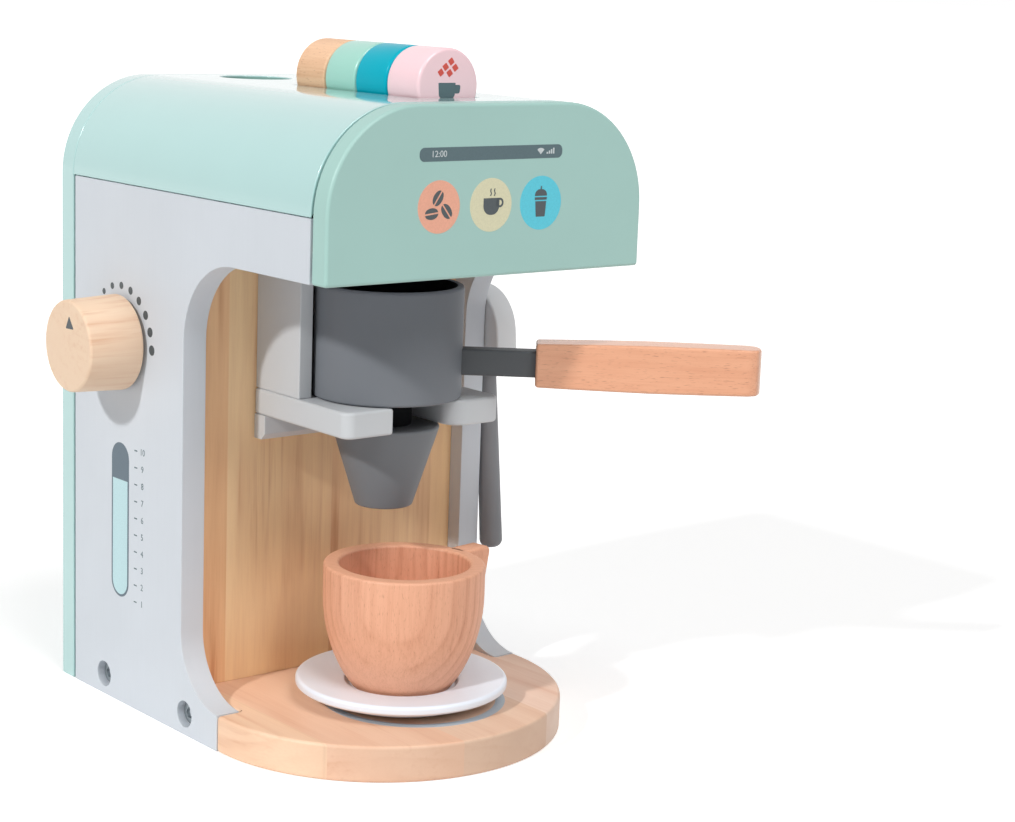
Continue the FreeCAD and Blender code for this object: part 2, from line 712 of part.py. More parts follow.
def make_rear_wall():
    """Pine wall behind the cup, between base and deck."""
    wall = box("rear_wall_blank", 2 * INNER_SIDE, S.rear_wall_thickness,
               ARM_UNDER - S.base_wall, -INNER_SIDE, REAR_WALL_FRONT, S.base_wall)
    steam_bore = rod("rear_wall_steam_bore", S.screw_radius + S.hole_fit, S.steam_screw_bite,
                     INNER_SIDE, STEAM_Y, S.steam_level, AGAINST_X)
    return cut("rear_wall", wall, screw_bores("rear_wall_bores", FORK_SCREW_PLACES, AGAINST_Y),
               steam_bore)


# Holder under the arm

def make_holder_fork():
    """Fork that the filter holder slides into from the front."""
    body = new_body("holder_fork_blank")
    sketch = new_sketch(body, "holder_fork_outline", "XY_Plane", FORK_UNDER)
    half = S.fork_half_width
    tip = FRONT + S.fork_front_reach
    corner = S.fork_corner
    slot = S.fork_slot
    outline(sketch,
            (half, REAR_WALL_FRONT),
            (-half, REAR_WALL_FRONT),
            (-half, tip + corner),
            (-half + corner, tip, corner, 1),
            (-slot, tip),
            (-slot, GROUP_Y),
            (ZERO, GROUP_Y + slot, slot, -1),
            (slot, GROUP_Y, slot, -1),
            (slot, tip),
            (half - corner, tip),
            (half, tip + corner, corner, 1))
    pad(body, sketch, S.fork_wall)
    ends = (FORK_UNDER.value, FORK_TOP.value)
    soften(body, S.fine_round,
           lambda edge: edge.BoundBox.YMax < REAR_WALL_FRONT.value - NEAR
           and any(lies_at(edge, "Z", level) for level in ends)
           or lies_at(edge, "Y", tip.value) and runs_along(edge, "Z"))
    screws = screw_bores("holder_fork_screw_bores", FORK_SCREW_PLACES, AGAINST_Y)
    bores = dowels("holder_fork_dowel_bores", CHEEK_DOWEL_RADIUS + S.hole_fit, DOWEL_HALF,
                   [(x, y, z - S.hole_fit) for x, y, z in CHEEK_DOWEL_PLACES[2:]])
    return cut("holder_fork", body, screws, bores)


def make_fork_ledger():
    """Batten on the pine wall that the fork rests on."""
    body = new_body("fork_ledger")
    sketch = new_sketch(body, "fork_ledger_outline", "YZ_Plane", -S.fork_half_width)
    front = REAR_WALL_FRONT - S.ledger_wall
    bevel = S.ledger_bevel
    under = FORK_UNDER - S.ledger_height
    outline(sketch,
            (REAR_WALL_FRONT, under),
            (REAR_WALL_FRONT, FORK_UNDER),
            (front, FORK_UNDER),
            (front, under + bevel),
            (front + bevel, under))
    pad(body, sketch, 2 * S.fork_half_width)
    return body


def cheek(label, left_x):
    """A cheek board beside the filter basket."""
    board = box(label + "_blank", S.cheek_wall, S.rear_wall_reach - S.cheek_reach,
                ARM_UNDER - FORK_TOP, left_x, FRONT + S.cheek_reach, FORK_TOP)
    sign = 1 if left_x.value > 0 else -1
    places = [spot for spot in CHEEK_DOWEL_PLACES if spot[0].value * sign > 0]
    upper = [(x, y, z - S.hole_fit) for x, y, z in places[:1]]
    bores = dowels(label + "_bores", CHEEK_DOWEL_RADIUS + S.hole_fit, DOWEL_HALF + S.hole_fit,
                   upper + places[1:])
    return cut(label, board, bores)


# Filter holder: its own frame stands on the basket's axis and turns with the handle

def place_holder(thing):
    """Stand a piece of the filter holder on its axis, turned with the handle."""
    return place_turned(thing, ZERO, GROUP_Y, ZERO, Vector(0, 0, 1), S.handle_angle)


def make_filter_basket():
    """Turned basket, hollow from above, bored for the neck and mortised for the bar."""
    low = BASKET_UNDER
    top = low + S.basket_height
    floor = top - S.basket_depth
    outer = S.basket_radius
    inner = outer - S.basket_wall
    corner = S.basket_corner
    body = turned("filter_basket",
                  (ZERO, low + S.neck_tenon),
                  (S.neck_radius + S.turn_fit, low + S.neck_tenon),
                  (S.neck_radius + S.turn_fit, low),
                  (outer - corner, low),
                  (outer, low + corner, corner, 1),
                  (outer, top - corner),
                  (outer - corner, top, corner, 1),
                  (inner, top),
                  (inner, floor + corner),
                  (inner - corner, floor, corner, -1),
                  (ZERO, floor))
    start = outer - S.rod_bite
    half = S.rod_thickness / 2 + S.hole_fit
    rise = S.rod_height / 2 + S.hole_fit
    mortise = new_sketch(body, "filter_basket_mortise", "YZ_Plane", start)
    outline(mortise,
            (-half, ROD_LEVEL - rise),
            (half, ROD_LEVEL - rise),
            (half, ROD_LEVEL + rise),
            (-half, ROD_LEVEL + rise))
    pocket(body, mortise, S.rod_bite + S.rod_thickness, reverse=True)
    return place_holder(body)


def make_spout_neck():
    """Round neck that passes through the fork's slot."""
    low = SPOUT_TOP - S.neck_tenon
    top = BASKET_UNDER + S.neck_tenon - S.slide_fit
    return rod("spout_neck", S.neck_radius, top - low, ZERO, GROUP_Y, low)


def make_spout_cone():
    """Tapered spout below the fork."""
    low = SPOUT_TOP - S.spout_height
    corner = S.spout_corner
    bore = S.neck_radius + S.hole_fit
    body = turned("spout_cone",
                  (ZERO, low),
                  (S.spout_tip_radius - corner, low),
                  (S.spout_tip_radius, low + corner, corner, 1),
                  (S.spout_top_radius, SPOUT_TOP - corner),
                  (S.spout_top_radius - corner, SPOUT_TOP, corner, 1),
                  (bore, SPOUT_TOP),
                  (bore, SPOUT_TOP - S.neck_tenon),
                  (ZERO, SPOUT_TOP - S.neck_tenon))
    return place(body, ZERO, GROUP_Y, ZERO)


def make_filter_bar():
    """Flat bar between basket and grip."""
    body = new_body("filter_bar")
    start = S.basket_radius - S.rod_bite
    sketch = new_sketch(body, "filter_bar_outline", "YZ_Plane", start)
    half = S.rod_thickness / 2
    rise = S.rod_height / 2
    outline(sketch,
            (-half, ROD_LEVEL - rise),
            (half, ROD_LEVEL - rise),
            (half, ROD_LEVEL + rise),
            (-half, ROD_LEVEL + rise))
    pad(body, sketch, S.grip_start + S.grip_bite - start)
    soften(body, S.fine_round, lambda edge: runs_along(edge, "X"))
    return place_holder(body)


def make_filter_grip():
    """Beech grip, crowned above and below and rounded at its free end."""
    body = new_body("filter_grip")
    sketch = new_sketch(body, "filter_grip_outline", "XZ_Plane", -S.grip_depth / 2)
    start = S.grip_start
    end = start + S.grip_length
    middle = (start + end) / 2
    low = ROD_LEVEL - S.grip_height / 2
    top = ROD_LEVEL + S.grip_height / 2
    end_low = ROD_LEVEL - S.grip_end_height / 2
    end_top = ROD_LEVEL + S.grip_end_height / 2
    rise = (S.grip_height + S.grip_end_height) / 4 + S.grip_swell
    outline(sketch,
            (start, low),
            (middle, ROD_LEVEL - rise, S.grip_sweep, 1),
            (end, end_low, S.grip_sweep, 1),
            (end, end_top),
            (middle, ROD_LEVEL + rise, S.grip_sweep, 1),
            (start, top, S.grip_sweep, 1))
    pad(body, sketch, S.grip_depth)
    soften(body, S.grip_corner,
           lambda edge: lies_at(edge, "X", end.value) and runs_along(edge, "Z"))
    crown_top = (top - S.grip_corner / 2).value
    crown_low = (low + S.grip_corner / 2).value
    soften(body, S.grip_edge,
           lambda edge: runs_along(edge, "X")
           and (edge.BoundBox.ZMin > crown_top or edge.BoundBox.ZMax < crown_low))
    half = S.rod_thickness / 2 + S.hole_fit
    reach = S.rod_height / 2 + S.hole_fit
    mortise = new_sketch(body, "filter_grip_mortise", "YZ_Plane", start)
    outline(mortise,
            (-half, ROD_LEVEL - reach),
            (half, ROD_LEVEL - reach),
            (half, ROD_LEVEL + reach),
            (-half, ROD_LEVEL + reach))
    pocket(body, mortise, S.grip_bite + S.hole_fit, reverse=True)
    return place_holder(body)


# Cup and saucer

def place_cup(thing):
    """Stand a piece of the cup on the saucer, turned so that its tab points back a little."""
    return place_turned(thing, ZERO, CUP_Y, CUP_UNDER, Vector(0, 0, 1), S.cup_angle)


def make_saucer():
    """Saucer with a thick rim, a foot and a hollow for the cup."""
    top = S.saucer_height
    rim = S.saucer_radius
    foot = S.saucer_foot_radius
    well = S.saucer_well_radius
    lip = S.saucer_rim / 2
    slope = S.slide_fit * 2
    edge = top - S.saucer_dish
    body = turned("saucer",
                  (ZERO, ZERO),
                  (foot, ZERO),
                  (rim - lip, top - S.saucer_rim),
                  (rim, top - lip, lip, 1),
                  (rim - lip, top, lip, 1),
                  (well + slope, edge),
                  (well, S.saucer_floor),
                  (ZERO, S.saucer_floor))
    return place(body, ZERO, CUP_Y, SAUCER_UNDER)


def make_cup():
    """Turned cup with a mortise for its tab handle."""
    rim = S.cup_radius
    top = S.cup_height
    wall = S.cup_wall
    lip = wall / 5
    shoulder = top - S.cup_shoulder_drop
    inner_foot = S.cup_foot_radius - wall / 2
    body = turned("cup",
                  (ZERO, ZERO),
                  (S.cup_foot_radius, ZERO),
                  (S.cup_belly_radius, S.cup_belly_height, S.cup_heel_curve, 1),
                  (rim, shoulder, S.cup_side_curve, 1),
                  (rim, top - lip),
                  (rim - lip, top, lip, 1),
                  (rim - wall + lip, top),
                  (rim - wall, top - lip, lip, 1),
                  (rim - wall, shoulder),
                  (inner_foot, S.cup_floor, S.cup_inner_curve, -1),
                  (ZERO, S.cup_floor))
    start = rim - S.tab_bite
    half = S.tab_wall / 2 + S.hole_fit
    mortise = new_sketch(body, "cup_mortise", "YZ_Plane", start)
    outline(mortise,
            (-half, top - S.tab_drop - S.hole_fit),
            (half, top - S.tab_drop - S.hole_fit),
            (half, top + S.hole_fit),
            (-half, top + S.hole_fit))
    pocket(body, mortise, S.tab_reach, reverse=True)
    return place_cup(body)


def make_cup_tab():
    """Solid tab handle let into the cup's wall."""
    body = new_body("cup_tab")
    sketch = new_sketch(body, "cup_tab_outline", "XZ_Plane", -S.tab_wall / 2)
    start = S.cup_radius - S.tab_bite + S.hole_fit
    top = S.cup_height
    low = top - S.tab_drop
    corner = S.tab_corner
    outline(sketch,
            (start, low),
            (S.cup_radius, low),
            (S.tab_foot_reach, low + S.tab_foot_rise),
            (S.tab_reach, top - corner),
            (S.tab_reach - corner, top, corner, 1),
            (start, top))
    pad(body, sketch, S.tab_wall)
    soften(body, S.edge_round,
           lambda edge: edge.BoundBox.XMin > start.value + NEAR and not runs_along(edge, "Y"))
    return place_cup(body)


# Capsules

def capsule(label, number):
    """A short round capsule; the first one lies at the front of the slot."""
    corner = S.capsule_corner
    body = turned(label,
                  (ZERO, ZERO),
                  (S.capsule_radius - corner, ZERO),
                  (S.capsule_radius, corner, corner, 1),
                  (S.capsule_radius, S.capsule_length - corner),
                  (S.capsule_radius - corner, S.capsule_length, corner, 1),
                  (ZERO, S.capsule_length))
    start = FRONT + S.slot_reach + S.capsule_gap + number * (S.capsule_length + S.capsule_gap)
    return place(body, ZERO, start, CAPSULE_LEVEL, ALONG_Y)


# Dial knob

def make_dial_knob():
    """Turned knob, bored for its screw; its face points to the left."""
    corner = S.knob_corner
    bore = S.knob_screw_radius + S.hole_fit
    back_round = corner / 3
    body = turned("dial_knob",
                  (bore, ZERO),
                  (S.knob_radius - back_round, ZERO),
                  (S.knob_radius, back_round, back_round, 1),
                  (S.knob_radius, S.knob_length - corner),
                  (S.knob_radius - corner, S.knob_length, corner, 1),
                  (ZERO, S.knob_length),
                  (ZERO, S.knob_screw_bite),
                  (bore, S.knob_screw_bite))
    return place(body, KNOB_BACK, KNOB_Y, S.knob_level, AGAINST_X)


def make_knob_washer():
    """Washer between knob and panel."""
    disc = rod("knob_washer_disc", S.knob_washer_radius, S.washer_wall, -SIDE, KNOB_Y,
               S.knob_level, AGAINST_X)
    bore = rod("knob_washer_bore", S.knob_screw_radius + S.slide_fit, S.washer_wall, -SIDE,
               KNOB_Y, S.knob_level, AGAINST_X)
    return cut("knob_washer", disc, bore)


def make_knob_screw():
    """Screw that holds the knob from inside the case."""
    head = S.screw_head_height
    shank = S.side_wall - KNOB_BACK - SIDE + S.slide_fit + S.knob_screw_bite - S.hole_fit
    body = turned("knob_screw",
                  (ZERO, ZERO),
                  (S.screw_head_radius - head / 2, ZERO),
                  (S.screw_head_radius, head / 2, head / 2, 1),
                  (S.screw_head_radius, head),
                  (S.knob_screw_radius, head),
                  (S.knob_screw_radius, head + shank - S.knob_screw_radius),
                  (ZERO, head + shank))
    return place(body, -INNER_SIDE + S.slide_fit + head, KNOB_Y, S.knob_level, AGAINST_X)


# Steam arm: its own frame stands on the pivot and leans with the arm

def place_steam(thing):
    """Stand a piece of the steam arm on its pivot, leaning forward."""
    return place_turned(thing, STEAM_INNER, STEAM_Y, S.steam_level, Vector(-1, 0, 0),
                        S.steam_angle)


def make_steam_block():
    """Arched block that turns on its screw and carries the wand."""
    body = new_body("steam_block")
    sketch = new_sketch(body, "steam_block_outline", "YZ_Plane")
    outline(sketch,
            (S.steam_radius, ZERO),
            (ZERO, S.steam_radius, S.steam_radius, 1),
            (-S.steam_radius, ZERO, S.steam_radius, 1),
            (-S.steam_radius, -S.steam_skirt),
            (S.steam_radius, -S.steam_skirt))
    hole(sketch, ZERO, ZERO, S.pivot_radius + S.turn_fit)
    pad(body, sketch, S.steam_wall)
    soften(body, S.steam_edge,
           lambda edge: lies_at(edge, "X", S.steam_wall.value)
           and edge.BoundBox.DiagonalLength > 4 * S.pivot_radius.value)
    socket = new_sketch(body, "steam_block_socket", "XY_Plane", -S.steam_skirt)
    hole(socket, S.steam_wall / 2, -S.wand_offset, S.wand_tenon_radius + S.hole_fit)
    pocket(body, socket, S.wand_tenon + S.hole_fit, reverse=True)
    return place_steam(body)


def make_steam_wand():
    """Tapered wand with a rounded tip and a tenon in the block."""
    tip = S.wand_tip_round
    flat = S.wand_tip_radius - tip
    top = -S.steam_skirt
    low = top - S.wand_length
    body = turned("steam_wand",
                  (ZERO, low),
                  (flat, low),
                  (S.wand_tip_radius, low + tip, tip, 1),
                  (S.wand_top_radius, top),
                  (S.wand_tenon_radius, top),
                  (S.wand_tenon_radius, top + S.wand_tenon),
                  (ZERO, top + S.wand_tenon))
    # the wand's own axis stands in the middle of the block, in front of the pivot
    bind(body.Group[0], AttachmentOffset__Base__x=S.steam_wall / 2,
         AttachmentOffset__Base__z=S.wand_offset)
    return place_steam(body)


def make_steam_screw():
    """Screw that the steam arm turns on, driven through the side panel into the pine wall."""
    head = S.pivot_head_height
    plain = head + S.steam_wall + 2 * S.slide_fit
    whole = plain + S.side_wall + S.steam_screw_bite - S.hole_fit
    body = turned("steam_screw",
                  (ZERO, ZERO),
                  (S.pivot_head_radius - head / 2, ZERO),
                  (S.pivot_head_radius, head / 2, head / 2, 1),
                  (S.pivot_head_radius, head),
                  (S.pivot_radius, head),
                  (S.pivot_radius, plain),
                  (S.screw_radius, plain),
                  (S.screw_radius, whole - S.screw_radius),
                  (ZERO, whole))
    return place(body, SIDE + plain, STEAM_Y, S.steam_level, AGAINST_X)


PIECES = [
    make_base_plate(),
    make_left_side_panel(),
    make_right_side_panel(),
    make_front_plate(),
    make_back_plate(),
    make_top_shell(),
    make_capsule_shelf(),
    make_arm_deck(),
    make_rear_wall(),
    make_holder_fork(),
    make_fork_ledger(),
    cheek("left_cheek", -CHEEK_INNER - S.cheek_wall),
    cheek("right_cheek", CHEEK_INNER),
    make_filter_basket(),
    make_spout_neck(),
    make_spout_cone(),
    make_filter_bar(),
    make_filter_grip(),
    make_saucer(),
    make_cup(),
    make_cup_tab(),
    capsule("capsule_pink", 0),
    capsule("capsule_teal", 1),
    capsule("capsule_mint", 2),
    capsule("capsule_beech", 3),
    make_dial_knob(),
    make_knob_washer(),
    make_knob_screw(),
    make_steam_block(),
    make_steam_wand(),
    make_steam_screw(),
    make_base_screws(),
    make_back_screws(),
    make_fork_screws(),
    dowels("front_dowels", S.dowel_radius, S.dowel_length - S.hole_fit, FRONT_DOWEL_PLACES,
           ALONG_Y),
    dowels("shell_dowels", S.dowel_radius, S.dowel_length - S.hole_fit, SHELL_DOWEL_PLACES),
    dowels("cheek_dowels", CHEEK_DOWEL_RADIUS, DOWEL_HALF - S.hole_fit, CHEEK_DOWEL_PLACES),
]

doc.recompute()
faults = [thing.Name for thing in doc.Objects
          if "Invalid" in thing.State or "Error" in thing.State]
faults += [piece.Label for piece in PIECES if piece.Shape.isNull() or not piece.Shape.isValid()]
if faults:
    raise ValueError("these did not compute: " + ", ".join(faults))

os.makedirs("parts", exist_ok=True)
for piece in PIECES:
    piece.Shape.exportStep(f"parts/{piece.Label}.step")
print(f"wrote {len(PIECES)} pieces")
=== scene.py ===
"""The looks of a wooden toy coffee maker: boards, turned pieces, prints, floor and light.

Sizes are millimetres in the part's own frame, and MM brings them to Blender's metres.
"""

import logging
import math
from contextlib import contextmanager
from dataclasses import dataclass, field
from enum import Enum
from typing import Callable, ClassVar, Iterator, Sequence

import bmesh
import bpy
from mathutils import Matrix, Vector


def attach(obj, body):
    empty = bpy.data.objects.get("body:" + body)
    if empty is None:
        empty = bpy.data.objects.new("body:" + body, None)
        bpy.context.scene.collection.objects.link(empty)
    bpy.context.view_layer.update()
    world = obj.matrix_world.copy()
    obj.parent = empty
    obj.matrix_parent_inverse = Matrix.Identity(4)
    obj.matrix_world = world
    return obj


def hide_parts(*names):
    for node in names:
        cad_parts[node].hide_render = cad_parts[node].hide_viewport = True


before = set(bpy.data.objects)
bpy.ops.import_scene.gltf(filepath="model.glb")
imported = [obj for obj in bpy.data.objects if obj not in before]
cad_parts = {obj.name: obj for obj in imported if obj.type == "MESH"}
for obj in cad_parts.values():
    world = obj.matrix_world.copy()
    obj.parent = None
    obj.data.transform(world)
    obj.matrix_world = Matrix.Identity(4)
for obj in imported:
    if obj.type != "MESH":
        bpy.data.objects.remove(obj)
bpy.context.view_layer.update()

MM = 0.001
RGB = tuple[int, int, int]
Triple = tuple[float, float, float]
Piece = bpy.types.Object
Socket = bpy.types.NodeSocket
log = logging.getLogger("toy_coffee_maker")


# Finishes


def on_screen(colour: RGB) -> tuple[float, float, float, float]:
    """Turn a colour as it shows on screen into Blender's linear one.

    Args:
        colour: red, green and blue from 0 to 255.

    Returns:
        The linear colour with full opacity.
    """
    linear = [((c / 255 + 0.055) / 1.055) ** 2.4 if c > 10 else c / 255 / 12.92 for c in colour]
    return (*linear, 1.0)


class Recipe:
    """Adds and wires the nodes of one material."""

    def __init__(self, name: str) -> None:
        """Start a material.

        Args:
            name: the material's name.
        """
        self.material = bpy.data.materials.new(name)
        self.material.use_nodes = True
        self.tree = self.material.node_tree
        self.shader = self.tree.nodes["Principled BSDF"]
        self.place = self.add("ShaderNodeTexCoord").outputs["Object"]

    def add(self, kind: str, inputs: dict | None = None, **settings: object) -> bpy.types.Node:
        """Add a node.

        Args:
            kind: the node's type.
            inputs: values or sockets for the node's inputs, by name or number.
            settings: the node's own options.

        Returns:
            The new node.
        """
        node = self.tree.nodes.new(kind)
        for option, value in settings.items():
            setattr(node, option, value)
        for key, value in (inputs or {}).items():
            if isinstance(value, bpy.types.NodeSocket):
                self.tree.links.new(value, node.inputs[key])
            else:
                node.inputs[key].default_value = value
        return node

    def math(self, operation: str, *values: Socket | float) -> Socket:
        """Work out a number from numbers and sockets with a Math node."""
        return self.add("ShaderNodeMath", dict(enumerate(values)), operation=operation).outputs[0]

    def along(self, place: Socket, direction: Sequence[float]) -> Socket:
        """Measure a place along a direction."""
        return self.add("ShaderNodeVectorMath", {0: place, 1: tuple(direction)},
                        operation="DOT_PRODUCT").outputs["Value"]

    def join(self, x: Socket | float, y: Socket | float, z: Socket | float) -> Socket:
        """Put three numbers together as a place."""
        return self.add("ShaderNodeCombineXYZ", {0: x, 1: y, 2: z}).outputs[0]

    def noise(self, place: Socket, scale: float, detail: float = 2.0,
              roughness: float = 0.5) -> Socket:
        """Give cloudy noise between 0 and 1.

        Args:
            place: where the noise is read.
            scale: clouds per metre.
            detail: finer clouds on top.
            roughness: how strong the finer clouds are.

        Returns:
            The noise.
        """
        return self.add("ShaderNodeTexNoise", {"Vector": place, "Scale": scale, "Detail": detail,
                                               "Roughness": roughness}).outputs[0]

    def ramp(self, value: Socket, *stops: tuple[float, Sequence[float]],
             steps: bool = False) -> Socket:
        """Turn a number into a colour.

        Args:
            value: a number from 0 to 1.
            stops: places and linear colours.
            steps: True for colours with hard borders.

        Returns:
            The colour.
        """
        node = self.add("ShaderNodeValToRGB", {0: value})
        elements = node.color_ramp.elements
        node.color_ramp.interpolation = "CONSTANT" if steps else "LINEAR"
        for number, (place, colour) in enumerate(stops):
            element = elements[number] if number < len(elements) else elements.new(place)
            element.position = place
            element.color = (*colour[:3], 1.0)
        return node.outputs[0]

    def spread(self, value: Socket, low: float, high: float, to_low: float,
               to_high: float) -> Socket:
        """Bring a number from one range to another, clamped."""
        return self.add("ShaderNodeMapRange", {0: value, 1: low, 2: high, 3: to_low, 4: to_high},
                        clamp=True).outputs[0]

    def blend(self, share: Socket | float, first: Socket | Sequence[float],
              second: Socket | Sequence[float], way: str = "MIX") -> Socket:
        """Blend two colours.

        Args:
            share: how much of the second colour shows.
            first: the colour below.
            second: the colour on top.
            way: the blending mode.

        Returns:
            The blended colour.
        """
        return self.add("ShaderNodeMix", {0: share, 6: first, 7: second}, data_type="RGBA",
                        blend_type=way).outputs[2]

    def grey(self, value: Socket) -> Socket:
        """Make a grey of a number."""
        return self.add("ShaderNodeCombineColor", {0: value, 1: value, 2: value}).outputs[0]

    def finish(self, colour: Socket, roughness: Socket | float, height: Socket | None = None,
               relief: float = 0.05, **constants: float) -> bpy.types.Material:
        """Wire the shader.

        Args:
            colour: the surface's colour.
            roughness: the surface's roughness.
            height: relief of the surface from 0 to 1.
            relief: depth of the relief in millimetres.
            constants: other inputs of the shader, with spaces written as underscores.

        Returns:
            The material.
        """
        links = self.tree.links
        links.new(colour, self.shader.inputs["Base Color"])
        if isinstance(roughness, bpy.types.NodeSocket):
            links.new(roughness, self.shader.inputs["Roughness"])
        else:
            self.shader.inputs["Roughness"].default_value = roughness
        if height is not None:
            bump = self.add("ShaderNodeBump", {"Height": height, "Strength": 1.0,
                                               "Distance": relief * MM})
            links.new(bump.outputs[0], self.shader.inputs["Normal"])
        for name, value in constants.items():
            self.shader.inputs[name.replace("_", " ")].default_value = value
        return self.material


@dataclass(frozen=True)
class Finish:
    """What every finish has: a name and the record's material slot."""

    name: str
    slot: str

    @property
    def label(self) -> str:
        """Name the material apart from the frame's own ones."""
        return f"{self.name}_look"

    def material(self) -> bpy.types.Material:
        """Give the finish's material, made at its first use."""
        return bpy.data.materials.get(self.label) or self.make()

    def make(self) -> bpy.types.Material:
        """Make the material; each finish has its own way."""
        raise NotImplementedError


@dataclass(frozen=True)
class Paint(Finish):
    """Paint sprayed on wood: even, with faint clouds and a fine orange peel."""

    colour: RGB
    roughness: float = 0.45
    coat: float = 0.0
    clouds: float = 0.035
    peel: float = 0.012
    pores: float = 0.0
    gloss: float = 0.5

    def make(self) -> bpy.types.Material:
        """Make the paint's material."""
        recipe = Recipe(self.label)
        cloud = recipe.noise(recipe.place, 26.0, 3.0)
        fine = recipe.noise(recipe.place, 1100.0, 2.0)
        shade = recipe.spread(cloud, 0.3, 0.7, 1.0 - self.clouds, 1.0)
        grain = recipe.noise(recipe.join(
            recipe.along(recipe.place, (900, 0, 0)), recipe.along(recipe.place, (0, 900, 0)),
            recipe.along(recipe.place, (0, 0, 40))), 1.0, 2.0)
        shade = recipe.math("MULTIPLY", shade, recipe.spread(grain, 0.35, 0.6, 1 - self.pores, 1.0))
        colour = recipe.blend(1.0, on_screen(self.colour), recipe.grey(shade), "MULTIPLY")
        return recipe.finish(colour, self.roughness, fine if self.peel else None, self.peel,
                             Coat_Weight=self.coat, Coat_Roughness=0.1,
                             Specular_IOR_Level=self.gloss)


